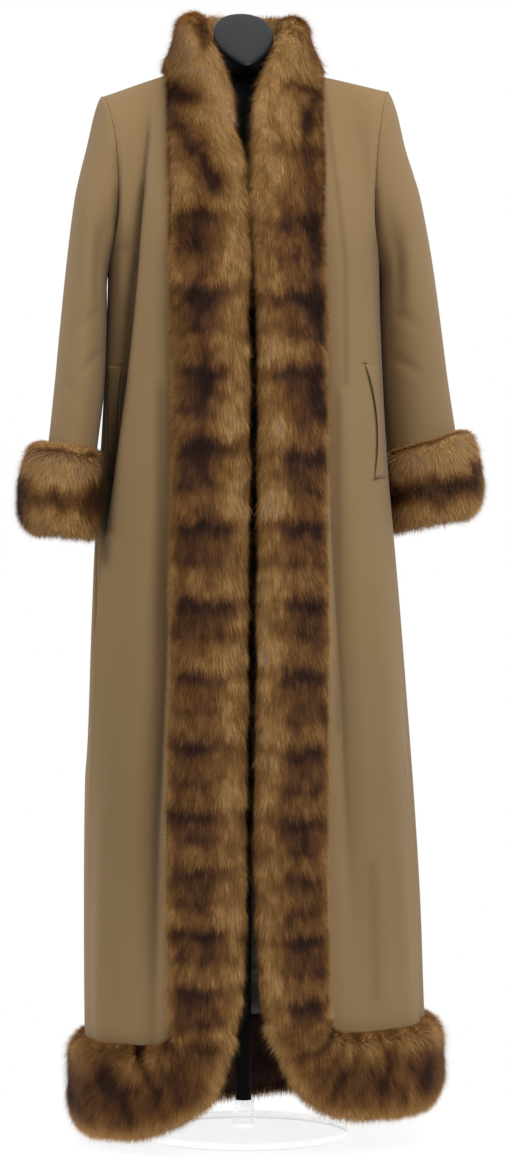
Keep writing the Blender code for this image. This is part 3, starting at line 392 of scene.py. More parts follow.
# Dark strokes of the fur, as seen from the front: x and z at both ends, half width, strength
COLLAR_STROKES = (
    (-0.098, 1.38, -0.082, 1.366, 0.014, 0.6), (-0.104, 1.358, -0.09, 1.33, 0.011, 0.5),
    (-0.09, 1.33, -0.064, 1.29, 0.012, 0.65), (-0.064, 1.29, -0.05, 1.25, 0.013, 0.7),
    (-0.062, 1.462, -0.056, 1.44, 0.007, 0.5), (0.056, 1.392, 0.071, 1.384, 0.006, 0.4),
    (0.071, 1.384, 0.092, 1.379, 0.007, 0.55), (0.089, 1.376, 0.075, 1.346, 0.008, 0.5),
    (0.075, 1.346, 0.072, 1.297, 0.008, 0.5), (0.05, 1.3, 0.083, 1.299, 0.01, 0.45),
    (0.076, 1.29, 0.08, 1.23, 0.012, 0.4), (0.04, 1.225, 0.082, 1.212, 0.012, 0.5),
)
HEM_STROKES = {
    RIGHT: (
        (-0.123, 0.172, -0.104, 0.149, 0.006, 0.6), (-0.104, 0.149, -0.102, 0.084, 0.012, 0.42),
        (-0.15, 0.147, -0.141, 0.125, 0.005, 0.65), (-0.141, 0.125, -0.122, 0.091, 0.007, 0.6),
        (-0.077, 0.148, -0.056, 0.145, 0.005, 0.45), (-0.188, 0.112, -0.165, 0.079, 0.015, 0.6),
        (-0.165, 0.079, -0.152, 0.053, 0.011, 0.55), (-0.192, 0.1, -0.14, 0.08, 0.018, 0.25),
        (-0.234, 0.12, -0.229, 0.086, 0.008, 0.6), (-0.229, 0.086, -0.221, 0.063, 0.008, 0.55),
    ),
    LEFT: (
        (0.108, 0.171, 0.085, 0.145, 0.005, 0.55), (0.085, 0.145, 0.063, 0.135, 0.007, 0.55),
        (0.102, 0.133, 0.091, 0.115, 0.006, 0.4), (0.128, 0.137, 0.116, 0.115, 0.005, 0.5),
        (0.116, 0.115, 0.091, 0.072, 0.009, 0.5), (0.15, 0.121, 0.142, 0.101, 0.007, 0.4),
        (0.172, 0.139, 0.167, 0.115, 0.005, 0.6), (0.167, 0.115, 0.163, 0.093, 0.008, 0.65),
        (0.163, 0.093, 0.157, 0.063, 0.008, 0.5), (0.202, 0.128, 0.203, 0.112, 0.005, 0.4),
        (0.229, 0.134, 0.228, 0.112, 0.007, 0.5), (0.228, 0.112, 0.224, 0.089, 0.007, 0.5),
        (0.118, 0.102, 0.17, 0.086, 0.018, 0.22),
    ),
}
CUFF_STROKES = {
    RIGHT: (
        (-0.295, 0.866, -0.299, 0.826, 0.009, 0.6), (-0.254, 0.852, -0.244, 0.84, 0.0065, 0.5),
        (-0.288, 0.847, -0.214, 0.844, 0.007, 0.3), (-0.201, 0.856, -0.209, 0.841, 0.01, 0.55),
        (-0.209, 0.841, -0.208, 0.829, 0.006, 0.36),
    ),
    LEFT: (
        (0.188, 0.866, 0.205, 0.857, 0.0085, 0.6), (0.205, 0.857, 0.234, 0.864, 0.008, 0.6),
        (0.234, 0.864, 0.255, 0.849, 0.008, 0.5), (0.246, 0.872, 0.27, 0.866, 0.008, 0.55),
        (0.27, 0.866, 0.298, 0.872, 0.0095, 0.68), (0.298, 0.872, 0.307, 0.892, 0.007, 0.6),
        (0.188, 0.866, 0.191, 0.827, 0.006, 0.45),
    ),
}

# Painted shade in the deepest folds of the fronts and sleeves, as strokes seen from the camera
FOLD_PAINTED_SHADE = {
    RIGHT: (
        (-0.1488, 1.104, -0.1563, 1.003, 0.008, 1.05), (-0.1563, 1.003, -0.1707, 0.902, 0.009, 1.25),
        (-0.1707, 0.902, -0.1747, 0.852, 0.01, 1.3), (-0.1747, 0.852, -0.1773, 0.802, 0.0095, 1.25),
        (-0.1773, 0.802, -0.1795, 0.762, 0.007, 0.8), (-0.1075, 0.985, -0.108, 0.7, 0.0075, 0.42),
        (-0.108, 0.7, -0.1125, 0.3, 0.007, 0.34), (-0.156, 0.64, -0.165, 0.2, 0.028, 0.14),
        (-0.1255, 1.325, -0.1308, 1.252, 0.004, 0.35), (-0.1308, 1.252, -0.141, 1.16, 0.0055, 0.8),
        (-0.141, 1.16, -0.1488, 1.104, 0.0062, 1.0),
    ),
    LEFT: (
        (0.1085, 1.374, 0.1217, 1.257, 0.0035, 0.32), (0.1217, 1.257, 0.1331, 1.152, 0.004, 0.38),
        (0.1331, 1.152, 0.1345, 0.994, 0.0045, 0.34), (0.123, 0.98, 0.124, 0.54, 0.005, 0.36),
        (0.1674, 0.366, 0.1723, 0.199, 0.007, 0.25),
    ),
}
SLEEVE_PAINTED_SHADE = {
    RIGHT: (
        (-0.1668, 1.3, -0.1648, 1.25, 0.0045, 0.35), (-0.1648, 1.25, -0.1668, 1.205, 0.006, 0.6),
    ),
    LEFT: ((0.1752, 1.250, 0.1768, 1.200, 0.0045, 0.45),),
}

# Where the photograph is taken from
CAMERA_AZIMUTH = -4.5
CAMERA_ASIDE = 0.0166
PHOTO_HEIGHT_M = 1.54679
SENSOR = 36.0

# Looks: roughness, plain shader values, scale and stretch of noise, and shades of each own colour
WOOL_ROUGHNESS = 0.92
WOOL_SHEEN = (("Specular IOR Level", 0.15), ("Sheen Roughness", 0.55))
NOISE_ROUGHNESS = 0.55
NAP_SCALE, NAP_STRETCH, NAP_SHARE = 900.0, (1.0, 1.0, 0.22), 0.55
CLOUD_SCALE, CLOUD_STRETCH, CLOUD_SHARE = 7.0, (1.0, 1.0, 0.45), 0.75
# The last value is the colour of the painted fold shade, as a share of the wool's
WOOL_DARK, WOOL_LIGHT, WOOL_BALANCE, PAINTED_SHADE_SHARE = 0.86, 1.14, 0.15, 0.15
NAP_BUMP = (0.35, 0.0006)
# Satin's roughness, and its painted shade and painted light on the crumples, as shares of its colour
SATIN_ROUGHNESS, SATIN_PAINTED_SHADE, SATIN_PAINTED_LIGHT = 0.36, 0.7, 1.5
CRUMPLE_SCALE, CRUMPLE_STRETCH, CRUMPLE_DETAIL, CRUMPLE_BUMP = 34.0, (1.0, 1.0, 0.8), 3.0, (0.6, 0.006)
# Painted slit shade and thread beside the wool: its colour, dark and light as shares of the wool's,
# roughness, noise scale
PLAIN_LOOKS = {
    "pocket_inside": (0.25, 0.34, 0.52, 0.95, 700.0),
    "sewing_thread": (0.55, 0.40, 0.66, 0.7, 1500.0),
}
FUR_ROUGHNESS, FUR_SHINE = 0.6, (("Specular IOR Level", 0.12),)
FUR_STOPS = (("dusty", 0.0), ("pale", 0.12), ("golden", 0.30), ("brown", 0.52), ("dark", 0.78))
FUR_DARKEST = 0.5
FUR_LIGHT, FUR_LEAST_LIGHT = 1.1, 0.35
COVER_SHEEN = (("Specular IOR Level", 0.05),)
CAP_SHEEN = (("Specular IOR Level", 0.22),)
CLEAR_GLASS = (("Transmission Weight", 1.0), ("IOR", 1.45), ("Alpha", 0.25))
FORM_DARK, FORM_LIGHT, FORM_BUMP = 0.88, 1.12, 0.0004
# The form's surfaces: the setting with the colour, roughness, scale and strength of the grain, shader values
FORM_LOOKS = {
    "form_black": ("cover", 0.9, 1400.0, 0.25, COVER_SHEEN),
    "cap_grey": ("cap", 0.45, 300.0, 0.05, CAP_SHEEN),
    "stand_black": ("stand", 0.6, 500.0, 0.1, COVER_SHEEN),
    "base_glass": ("base", 0.03, 300.0, 0.0, CLEAR_GLASS),
}

# Hair: width, height and seed of the patches in which locks and single strands swing together
LOCKS = (0.014, 0.017, 71)
STRANDS = (0.0026, 0.009, 72)
LEVEL_SLANT = 0.7
LOCK_SWING, STRAND_SWING = 0.30, 0.15
LIFT_LEAST, LIFT_VARIES, LIFT_LOCKS, LIFT_GUARD, LIFT_RIM = 0.6, 0.8, 0.5, 0.9, 0.9
RIM_LIES_LESS = 0.6
REACH_LEAST, REACH_VARIES, REACH_GUARD, REACH_RIM = 0.72, 0.56, 0.30, 0.45
REACH_PRESSED, REACH_LYING = 0.45, 0.55
ROLL = 0.25
WIDTH_LEAST, WIDTH_VARIES, WIDTH_GUARD = 0.7, 0.6, 0.35
# Each hair's lightness: at random, and painted light and shade that follow its strand and lock
LIGHT_VARIES, STRAND_PAINTED_SHADE, LOCK_PAINTED_SHADE = 0.09, 0.22, 0.18
TONE_VARIES = 0.045
# Tone and lightness at a hair's two root points and its tip, and of the undercoat
HAIR_TONES = (-0.004, 0.004, -0.02)
HAIR_LIGHTS = (0.40, 0.40, 0.62)
# The undercoat's lightness, kept below the hair's as painted shade, and how it varies
UNDER_PAINTED_SHADE_LIGHT, UNDER_LIGHT_VARIES = 0.34, 0.02
MAP_ENDS = (0.002, 0.998)

# Fur pieces: share of the hairs, lift, splay and how much longer they are; seeds; lumps as depth, size, seed
COLLAR_HAIR = (0.18, 0.36, 0.14)
# Hair inside each piece and round its free edge, as shares of that outside
COLLAR_COVER, FRONT_COVER, HEM_COVER, CUFF_COVER = (0.55, 1.0), (0.05, 0.30), (0.20, 1.0), 0.35
FRONT_HAIR = (0.175, 0.30, 0.10)
HEM_FRONT_HAIRS, HEM_BACK_HAIRS, HEM_HAIR = 0.10, 0.12, (0.42, 0.14, 1.2)
CUFF_HAIR = (0.075, 0.42, 0.16)
CUFF_FLOW_FROM, CUFF_RIM_FROM, CUFF_RIM_OVER = 0.09, 0.085, 0.015
COLLAR_HAIR_SEED, FRONT_HAIR_SEED, HEM_HAIR_SEED, BACK_HAIR_SEED, CUFF_HAIR_SEED = 101, 111, 121, 131, 141
COLLAR_LUMPS, FRONT_LUMPS = (0.004, 0.03, 81), (0.003, 0.03, 82)
HEM_LUMPS, CUFF_LUMPS = (0.004, 0.035, 83), (0.004, 0.03, 84)
DOWN = (0.0, 0.0, -1.0)
COLLAR_CREST = 16
FLOW_SPREAD, FRONT_SPREAD = 0.35, 0.30

# Lights: size, place and aim
KEY_LIGHT = (2.2, (0.9, -2.3, 2.9), (0.0, 0.0, 1.15))
FILL_LIGHT = (2.4, (-3.1, -2.1, 2.2), (0.0, 0.0, 0.9))
WHITE = (1.0, 1.0, 1.0)
SKY_TURNS, SKY_MIDDLE = 1.6, 0.95
FLOOR_SIDES, FLOOR_ROUGHNESS = 96, 0.9


def column(table, columns, name):
    """One named column of a table."""
    return np.array([row[columns.index(name)] for row in table], float)


def hermite(start, end, leave, arrive, along):
    """A smooth path from start to end that leaves and arrives in the given directions."""
    squared = along**2
    cubed = along**3
    begin = start * (2 * cubed - 3 * squared + 1) + leave * (cubed - 2 * squared + along)
    return begin + end * (3 * squared - 2 * cubed) + arrive * (cubed - squared)


def eased(stations, values, at):
    """Values on a smooth curve through a table's rows."""
    slopes = np.gradient(values, stations)
    i = np.clip(np.searchsorted(stations, at, side="right") - 1, 0, len(stations) - 2)
    span = stations[i + 1] - stations[i]
    return hermite(
        values[i], values[i + 1], slopes[i] * span, slopes[i + 1] * span, (at - stations[i]) / span
    )


def smooth(value):
    """A soft step from 0 to 1."""
    value = np.clip(value, 0.0, 1.0)
    return value * value * (3 - 2 * value)


def step_up(value, start, over):
    """A soft step from 0 at the start to 1 after the run."""
    return smooth((value - start) / over)


def step_down(value, start, over):
    return 1 - step_up(value, start, over)


def bell(distance, half):
    """A soft bump of height 1."""
    return np.exp(-((distance / half) ** 2))


def full_turn(count):
    """Even angles once round."""
    return np.linspace(0.0, 2 * math.pi, count, endpoint=False)


def unit(vectors):
    return vectors / np.maximum(np.linalg.norm(vectors, axis=-1, keepdims=True), 1e-9)


def alike(first, second):
    """Two values as arrays of one shape."""
    return np.broadcast_arrays(np.asarray(first, float), np.asarray(second, float))


def blend(first, last, part):
    """A value at a part of the way from the first to the last."""
    return first + (last - first) * part


def steps(count):
    """Even parts from 0 to 1."""
    return np.linspace(0.0, 1.0, count + 1)


def along_path(path, run, at):
    """A path's points at lengths along its run."""
    return np.stack([np.interp(at, run, values) for values in path.T], axis=-1)


def in_cells(grid, row, place, after, up, along):
    """A grid's values inside its cells, each between four corners."""
    low = grid[row, place] * (1 - along) + grid[row, after] * along
    high = grid[row + 1, place] * (1 - along) + grid[row + 1, after] * along
    return low * (1 - up) + high * up


def body_value(name, z):
    return eased(column(BODY, BODY_COLUMNS, "z"), column(BODY, BODY_COLUMNS, name), z)


def quarters(half_width, depth):
    """Quarter ovals from their middle to the side: x, depth and the length run so far, a row for each."""
    turn = np.linspace(0.0, math.pi / 2, SECTION_STEPS)
    x = half_width[:, None] * np.sin(turn) ** (2 / SQUARENESS)
    y = depth[:, None] * np.abs(np.cos(turn)) ** (2 / SQUARENESS)
    run = np.cumsum(np.hypot(np.diff(x), np.diff(y)), axis=1)
    return x, y, np.pad(run, ((0, 0), (1, 0)))


def look_up(keys, values, at):
    """Each row's value at its own key."""
    rows = np.arange(len(at))
    i = np.clip((keys < at[:, None]).sum(axis=1) - 1, 0, keys.shape[1] - 2)
    part = (at - keys[rows, i]) / (keys[rows, i + 1] - keys[rows, i])
    return blend(values[rows, i], values[rows, i + 1], part)


def front_quarter(z):
    """Length round the coat from the centre front to a side seam."""
    z = np.asarray(z, float)
    run = quarters(body_value("half_width", z.ravel()), body_value("front", z.ravel()))[2]
    return run[:, -1].reshape(z.shape)


def drift(z):
    """How far the front opening lies to the left of the body's middle."""
    return np.interp(z, *np.array(DRIFT).T)


def body(share, z):
    """Points of the coat's body, without its folds."""
    share, z = alike(share, z)
    place = np.abs(share).ravel()
    level = z.ravel()
    in_front = place <= 1
    depth = np.where(in_front, body_value("front", level), body_value("back", level))
    x, y, run = quarters(body_value("half_width", level), depth)
    hold = step_down(place, DRIFT_FROM, 1 - DRIFT_FROM)
    ahead = share.ravel() * run[:, -1] + hold * drift(level)
    goal = np.where(in_front, np.abs(ahead), (2 - place) * run[:, -1])
    out = np.where(np.where(in_front, ahead, share.ravel()) < 0, RIGHT, LEFT) * look_up(run, x, goal)
    back = np.where(in_front, -1, 1) * look_up(run, y, goal)
    points = np.stack([body_value("shift", level) + out, back, level], axis=-1)
    return points.reshape(share.shape + (3,))


def out_of(share, z):
    """Level direction out of the coat's body at a place."""
    ahead = body(share + SHARE_STEP, z) - body(share - SHARE_STEP, z)
    level = np.zeros(ahead.shape[:-1])
    return unit(np.stack([ahead[..., 1], -ahead[..., 0], level], axis=-1))


def folds(share, z):
    """How far the folded cloth stands out at a place."""
    share = np.asarray(share, float)
    total = np.zeros(np.broadcast(share, z).shape)
    for top_z, bottom_z, top_share, bottom_share, width, depth in FOLDS + CREASES:
        down = np.clip((top_z - z) / (top_z - bottom_z), 0.0, 1.0)
        away = np.abs(share - blend(top_share, bottom_share, down))
        away = np.minimum(away, 4 - away)
        total = total + depth * np.sin(math.pi * down) * bell(away, width)
    return total


def cloth(share, z, out=0.0):
    """Points on the folded body, moved out by a distance."""
    return body(share, z) + out_of(share, z) * (folds(share, z) + out)[..., None]


def yoke(side, share, top, weight, directions, up):
    """Cloth from the armpit level up to its top edge, drawn in round the armhole where the weight is 1."""
    leave, arrive, armhole_leave, armhole_arrive = (
        np.array(direction) * (side, 1, 1) for direction in directions
    )
    weight = weight[..., None]
    rise = hermite(
        body(share, ARMPIT_Z),
        top,
        blend(leave, armhole_leave, weight),
        blend(arrive, armhole_arrive, weight),
        up[..., None],
    )
    lift = folds(share, ARMPIT_Z + YOKE_HEIGHT * up)
    return rise + out_of(share, ARMPIT_Z) * lift[..., None]


def armhole_weight(across):
    return step_up(across, ARMHOLE_FROM, 1 - ARMHOLE_FROM)


def chest(side, across, up):
    """Front yoke: across runs from the fur to the armhole and up from the armpit to the shoulder seam."""
    across, up = alike(across, up)
    inner = FUR_SEWN[side] / front_quarter(ARMPIT_Z)
    share = side * blend(inner, 1, across)
    neck = np.array(NECK) * (side, 1, 1)
    top = blend(neck, np.array(SHOULDERS[side]), across[..., None])
    return yoke(side, share, top, armhole_weight(across), CHEST, up)


def neck_edge(turn):
    """Neckline of the back, from the nape at 0 to a shoulder seam at 1 or -1."""
    angle = turn * math.pi / 2
    x = NECK[0] * np.sin(angle)
    y = blend(NECK[1], NAPE_BACK, np.cos(angle))
    z = blend(NAPE_Z, NECK[2], np.sin(angle) ** 2)
    return np.stack([x, y, z], axis=-1)


def half_blades(side, away, up):
    """Half of the back yoke, from the centre back at 0 to the armhole at 1."""
    neck = np.array(NECK) * (side, 1, 1)
    part = np.clip((away - NECK_ACROSS) / (1 - NECK_ACROSS), 0.0, 1.0)[..., None]
    shoulder_line = blend(neck, np.array(SHOULDERS[side]), part)
    neckline = neck_edge(side * np.minimum(away / NECK_ACROSS, 1.0))
    top = np.where(away[..., None] > NECK_ACROSS, shoulder_line, neckline)
    return yoke(side, side * (2 - away), top, armhole_weight(away), BACK, up)


def blades(across, up):
    """Back yoke: across runs from the right armhole at -1 to the left one at 1."""
    across, up = alike(across, up)
    away = np.abs(across)
    right = half_blades(RIGHT, away, up)
    left = half_blades(LEFT, away, up)
    return np.where((across < 0)[..., None], right, left)


def hem_lift(share, tilt=HEM_TILT):
    """How far the hem is from level: lower on the right than on the left, and lower at the back."""
    across = np.sign(share) * np.maximum(np.abs(share), HEM_TILT_FROM)
    return tilt * np.sin(across * math.pi / 2) - HEM_BACK_DROP * smooth(np.abs(share) - 1)


def seam_share(z):
    """The side seam's gap as a share."""
    return SIDE_SEAM / front_quarter(z)


def run_along(path):
    """Length of a path up to each of its points."""
    return np.concatenate([[0.0], np.cumsum(np.linalg.norm(np.diff(path, axis=0), axis=1))])


def evenly(path, count):
    """A path's points at even distances."""
    run = run_along(path)
    return along_path(path, run, np.linspace(0.0, run[-1], count))


def as_shares(path):
    """A path of distances from the centre front and heights, with the distances as shares."""
    return np.stack([path[:, 0] / front_quarter(path[:, 1]), path[:, 1]], axis=-1)


def sewn_corner(side, gap=0.0):
    """Sewn line round the front corner, as distances from the centre front and heights."""
    low = HEM_SEWN_Z + hem_lift(side * HEM_TILT_FROM)
    turn = np.linspace(0.0, math.pi / 2, CORNER_ROWS + 1)
    along = FUR_SEWN[side] + CORNER_SEWN_RADIUS - (CORNER_SEWN_RADIUS + gap) * np.cos(turn)
    z = low + CORNER_SEWN_RADIUS - (CORNER_SEWN_RADIUS + gap) * np.sin(turn)
    return np.stack([along, z], axis=-1)


def sewn_hem(side, start, gap=0.0):
    """Sewn line along the hem from a share to the side seam, as shares and heights."""
    share = np.linspace(start, 1.0 - seam_share(HEM_SEWN_Z), HEM_COLUMNS + 1)[1:]
    return np.stack([share, HEM_SEWN_Z - gap + hem_lift(side * share)], axis=-1)


def free_corner(side):
    """Free edge of the fur below the corner's top: distances from the centre front and heights."""
    low = HEM_Z + hem_lift(side * HEM_TILT_FROM, HEM_FREE_TILT)
    table = np.array(CORNERS[side] + ((CORNER_ENDS[side], low),))
    rows = np.arange(len(table))
    step = np.linspace(0.0, rows[-1], SECTION_STEPS)
    return np.stack([eased(rows, values, step) for values in table.T], axis=-1)


def free_along(side, z):
    """Distance of the fur's free edge from the centre front; the fronts part below the corner's top."""
    corner = free_corner(side)[::-1]
    top = step_up(z, EDGE_ROOM_TOP_FROM_Z, EDGE_ROOM_TOP_OVER)
    room = blend(EDGE_ROOM, EDGE_ROOM_TOP, top)
    rise = step_up(z, FUR_EDGE_TOP_FROM_Z, ARMPIT_Z - FUR_EDGE_TOP_FROM_Z)
    closer = (FUR_EDGE_TOP - FUR_EDGE) * rise
    return np.interp(z, corner[:, 1], corner[:, 0]) + room + closer


def upright(along, z):
    """A line at the given distance from the centre front, as shares and heights."""
    return as_shares(np.stack([np.broadcast_to(along, z.shape), z], axis=-1))


def strip_levels(side):
    """Heights of the rows along a front's fur, from the corner to the armpit."""
    return np.linspace(sewn_corner(side)[0, 1], ARMPIT_Z, STRIP_ROWS + 1)


def front_edges(side):
    """Bottom and inner edges of a front, from the middle of its rounded corner, as shares and heights."""
    corner = as_shares(sewn_corner(side))
    middle = CORNER_ROWS // 2
    bottom = np.vstack([corner[middle:], sewn_hem(side, corner[-1, 0])])
    inner = np.vstack([corner[middle::-1], upright(FUR_SEWN[side], strip_levels(side)[1:])])
    return bottom, inner


def parts_of(values):
    """Values as parts of the way from the first to the last."""
    return (values - values[0]) / (values[-1] - values[0])


def front_panel(side):
    """A front: from the sewn line of its fur to the side seam, and from the hem fur to the shoulder."""
    bottom, inner = front_edges(side)
    across = parts_of(bottom[:, 0])
    up = parts_of(inner[:, 1])[:, None]
    end = bottom[-1]
    top_share = blend(inner[-1, 0], end[0], across)
    side_z = blend(end[1], ARMPIT_Z, up)
    share = (1 - up) * bottom[:, 0] + up * top_share
    share = share + (1 - across) * (inner[:, :1] - (1 - up) * bottom[0, 0] - up * top_share[0])
    straight = blend(bottom[0, 1], end[1], across)
    z = (1 - across) * inner[:, 1:] + across * side_z + (1 - up) * (bottom[:, 1] - straight)
    upper = chest(side, across * (1 - seam_share(ARMPIT_Z)), YOKE_RISE)
    return np.concatenate([cloth(side * share, z), upper])


def back_shares():
    """Shares across the back from the right side seam to the left one, and the same from -1 to 1."""
    across = np.linspace(-1.0, 1.0, BACK_COLUMNS + 1) * (1 - seam_share(ARMPIT_Z))
    return np.where(across < 0, RIGHT, LEFT) * (2 - np.abs(across)), across


def back_levels(share):
    """Heights of the back's rows, from the hem fur's sewn line to the armpit."""
    low = HEM_SEWN_Z + hem_lift(share)
    return blend(low, ARMPIT_Z, steps(BACK_ROWS)[:, None])


def back_panel():
    share, across = back_shares()
    return np.concatenate([cloth(share, back_levels(share)), blades(across, YOKE_RISE)])


def back_lining(wall):
    """Lining of the back, crumpled inwards."""
    share = back_shares()[0]
    z = back_levels(share)
    share = share + 0 * z
    slack = 0.0
    for depth, x_share, x_z, y_share, y_z, seed, power in LINING_SLACK:
        crumple = mottle(share * x_share + z * x_z, share * y_share + z * y_z, seed)
        slack = slack + depth * crumple**power
    return cloth(share, z, -(wall + LINING_SEAM) - slack)


def armhole(side):
    """The armhole's edge, from the underarm up the front and down the back, moved out by its seam."""
    rise = steps(YOKE_ROWS)
    front = chest(side, 1.0, rise)
    behind = blades(side * 1.0, rise[::-1])
    return np.concatenate([front, behind[1:-1]]) + np.array([side * ARMHOLE_SEAM, 0.0, 0.0])


def sleeve_value(side, name, to_end):
    table = SLEEVES[side]
    stations = column(table, SLEEVE_COLUMNS, "to_end")
    return eased(stations, column(table, SLEEVE_COLUMNS, name), to_end)


def sleeve_ring(side, to_end, turn, out=0.0):
    """An oval of a sleeve, from its underside round the front, moved out by a distance."""
    under = np.array([sleeve_value(side, "under_out", to_end), sleeve_value(side, "under_z", to_end)])
    top = np.array([sleeve_value(side, "top_out", to_end), sleeve_value(side, "top_z", to_end)])
    middle = (top + under) / 2
    half_width = np.linalg.norm(top - under) / 2
    half_depth = sleeve_value(side, "half_depth", to_end)
    rise = (top - middle) / half_width
    slope = np.hypot(half_depth * np.cos(turn), half_width * np.sin(turn))
    across = -np.cos(turn) * (half_width + out * half_depth / slope)
    ahead = np.sin(turn) * (half_depth + out * half_width / slope)
    x = side * (middle[0] + rise[0] * across)
    y = sleeve_value(side, "middle_y", to_end) - ahead
    return np.stack([x, y, middle[1] + rise[1] * across], axis=-1)


def sleeve_creases(to_end, turn):
    """How far a sleeve's cloth stands out at a place."""
    share = turn / (2 * math.pi)
    total = np.zeros_like(share)
    for first, first_turn, last, last_turn, half, depth in SLEEVE_CREASES:
        along = (first - to_end) / (first - last)
        if 0 < along < 1:
            away = np.abs(share - blend(first_turn, last_turn, along))
            away = np.minimum(away, 1 - away) * SLEEVE_ROUND
            total += depth * math.sin(math.pi * along) * bell(away, half)
    return total


def sleeve(side):
    edge = armhole(side)
    turn = full_turn(len(edge))
    length = SLEEVES[side][-1][0]
    shift = edge - sleeve_ring(side, length, turn)
    rings = [edge]
    for to_end in np.linspace(length, 0.0, SLEEVE_ROWS + 1)[1:]:
        hold = step_up(to_end, SLEEVE_MEETS_OVAL, length - SLEEVE_MEETS_OVAL)
        below = length - to_end
        head = SLEEVE_HEAD * smooth(below / SLEEVE_HEAD_FULL) * (1 - smooth(below / SLEEVE_HEAD_END))
        over_top = smooth(SLEEVE_HEAD_TOP - SLEEVE_HEAD_FADES * np.abs(np.cos(turn / 2)))
        out = sleeve_creases(to_end, turn) + head * over_top
        against = SLEEVE_AGAINST * bell(to_end - SLEEVE_AGAINST_AT, SLEEVE_AGAINST_HALF)
        against = against * bell(np.sin(turn / 2), SLEEVE_AGAINST_ROUND)
        rings.append(sleeve_ring(side, to_end, turn, out + against) + hold * shift)
    return np.array(rings)


def fine_section(table, count):
    """A closed section's columns, on a smooth line through its rows at even distances."""
    points = np.array(table, float)
    ends = np.vstack([points[-2:], points, points[:3]])
    fine = []
    part = np.linspace(0.0, 1.0, FINE_STEPS, endpoint=False)[:, None]
    for i in range(2, len(points) + 2):
        leave = (ends[i + 1] - ends[i - 1]) / 2
        arrive = (ends[i + 2] - ends[i]) / 2
        fine.append(hermite(ends[i], ends[i + 1], leave, arrive, part))
    fine = np.vstack(fine + [points[:1]])
    run = run_along(fine * np.array(SECTION_SCALE[: fine.shape[1]]))
    return along_path(fine, run, np.linspace(0.0, run[-1], count, endpoint=False))


FUR_FINE = fine_section(FUR, FUR_POINTS)
FUR_ACROSS = FUR_FINE[:, 0]
FUR_OUT = FUR_FINE[:, 1]
SEWN_RIM = 1 - smooth(FUR_ACROSS / SEWN_RIM_TO)


def fur_section(base, out, depth, inside=1.0):
    """Fur sections over base points, an array of stations by section points."""
    height = np.where(FUR_OUT < 0, FUR_OUT * inside, FUR_OUT)
    return base + out * (np.reshape(depth, (-1, 1)) * height)[..., None]


def across_fur(sewn, edge):
    """Points from a sewn line to a free edge, at the section's shares of the way."""
    return blend(sewn[:, None, :], edge[:, None, :], FUR_ACROSS[:, None])


def fur_band(side, sewn, edge, depth):
    """Fur on the coat's body between a sewn line and a free edge, both as shares and heights."""
    place = across_fur(sewn, edge)
    share = side * place[..., 0]
    return fur_section(cloth(share, place[..., 1]), out_of(share, place[..., 1]), depth)


def strip_sections(side, z, deep):
    """Sections of an upright strip at the given heights."""
    sewn = upright(FUR_SEWN[side] - FUR_SEAM, z)
    return fur_band(side, sewn, upright(free_along(side, z), z), FRONT_FUR * deep)


def drawn_in(sewn, edge, room):
    """A free edge drawn back towards the sewn line, which leaves room for its hair."""
    run = (sewn - edge) * np.stack([front_quarter(edge[:, 1]), np.ones(len(edge))], axis=-1)
    return blend(edge, sewn, (room / np.linalg.norm(run, axis=1))[:, None])


def fur_hem_front(side, deep):
    """The band from the front strip round the corner and along the hem to the side seam."""
    sewn = as_shares(sewn_corner(side, FUR_SEAM))
    free = free_corner(side)
    below = free[:, 1] < sewn[0, 1]
    start = np.array([free_along(side, sewn[0, 1]) - EDGE_ROOM, sewn[0, 1]])
    edge = as_shares(evenly(np.vstack([start, free[below]]), CORNER_ROWS + 1))
    share = np.linspace(edge[-1, 0], 1.0 - seam_share(HEM_Z), HEM_COLUMNS + 1)[1:]
    tail = np.stack([share, HEM_Z + hem_lift(side * share, HEM_FREE_TILT)], axis=-1)
    depth = blend(FRONT_FUR, HEM_FUR, smooth(steps(CORNER_ROWS)))
    depth = np.append(depth, np.full(HEM_COLUMNS, HEM_FUR))
    sewn = np.vstack([sewn, sewn_hem(side, sewn[-1, 0], FUR_SEAM)])
    grown = smooth(np.arange(len(sewn)) / (CORNER_ROWS * HEM_ROOM_OVER))
    room = blend(EDGE_ROOM, HEM_ROOM, grown)
    return fur_band(side, sewn, drawn_in(sewn, np.vstack([edge, tail]), room), depth * deep)


def fur_hem_back(deep):
    share = back_shares()[0]
    sewn = HEM_SEWN_Z - FUR_SEAM + hem_lift(share)
    low = HEM_Z + HEM_ROOM + hem_lift(share, HEM_FREE_TILT)
    z = blend(sewn[:, None], low[:, None], FUR_ACROSS)
    share = share[:, None] + 0 * z
    return fur_section(cloth(share, z), out_of(share, z), np.full(len(z), HEM_FUR * deep))


def collar_half(side):
    """Sewn and free edges of one half of the collar, from the breast to the nape, and their stations."""
    breast = cloth(side * FUR_EDGE_TOP / front_quarter(ARMPIT_Z), ARMPIT_Z)
    stations, *edge = np.vstack([[0.0, *breast], np.array(COLLAR) * (1, side, 1, 1)]).T
    rise = steps(YOKE_ROWS)
    turn = np.linspace(1.0, 0.0, round(BACK_COLUMNS / 2 * NECK_ACROSS) + 1)[1:]
    part = np.append(rise, 2 - turn)
    edge = [eased(stations, values, part) for values in edge]
    edge[0] = edge[0] + eased(*np.array(COLLAR_ASIDE).T, part)
    edge[0] = edge[0] - side * eased(*np.array(COLLAR_INWARD[side]).T, part)
    edge[2] = edge[2] - COLLAR_LOWER[side] * bell(part - COLLAR_LOWER_AT, COLLAR_LOWER_HALF)
    sewn = np.vstack([chest(side, 0.0, rise), neck_edge(side * turn)])
    return sewn, np.stack(edge, axis=-1), part


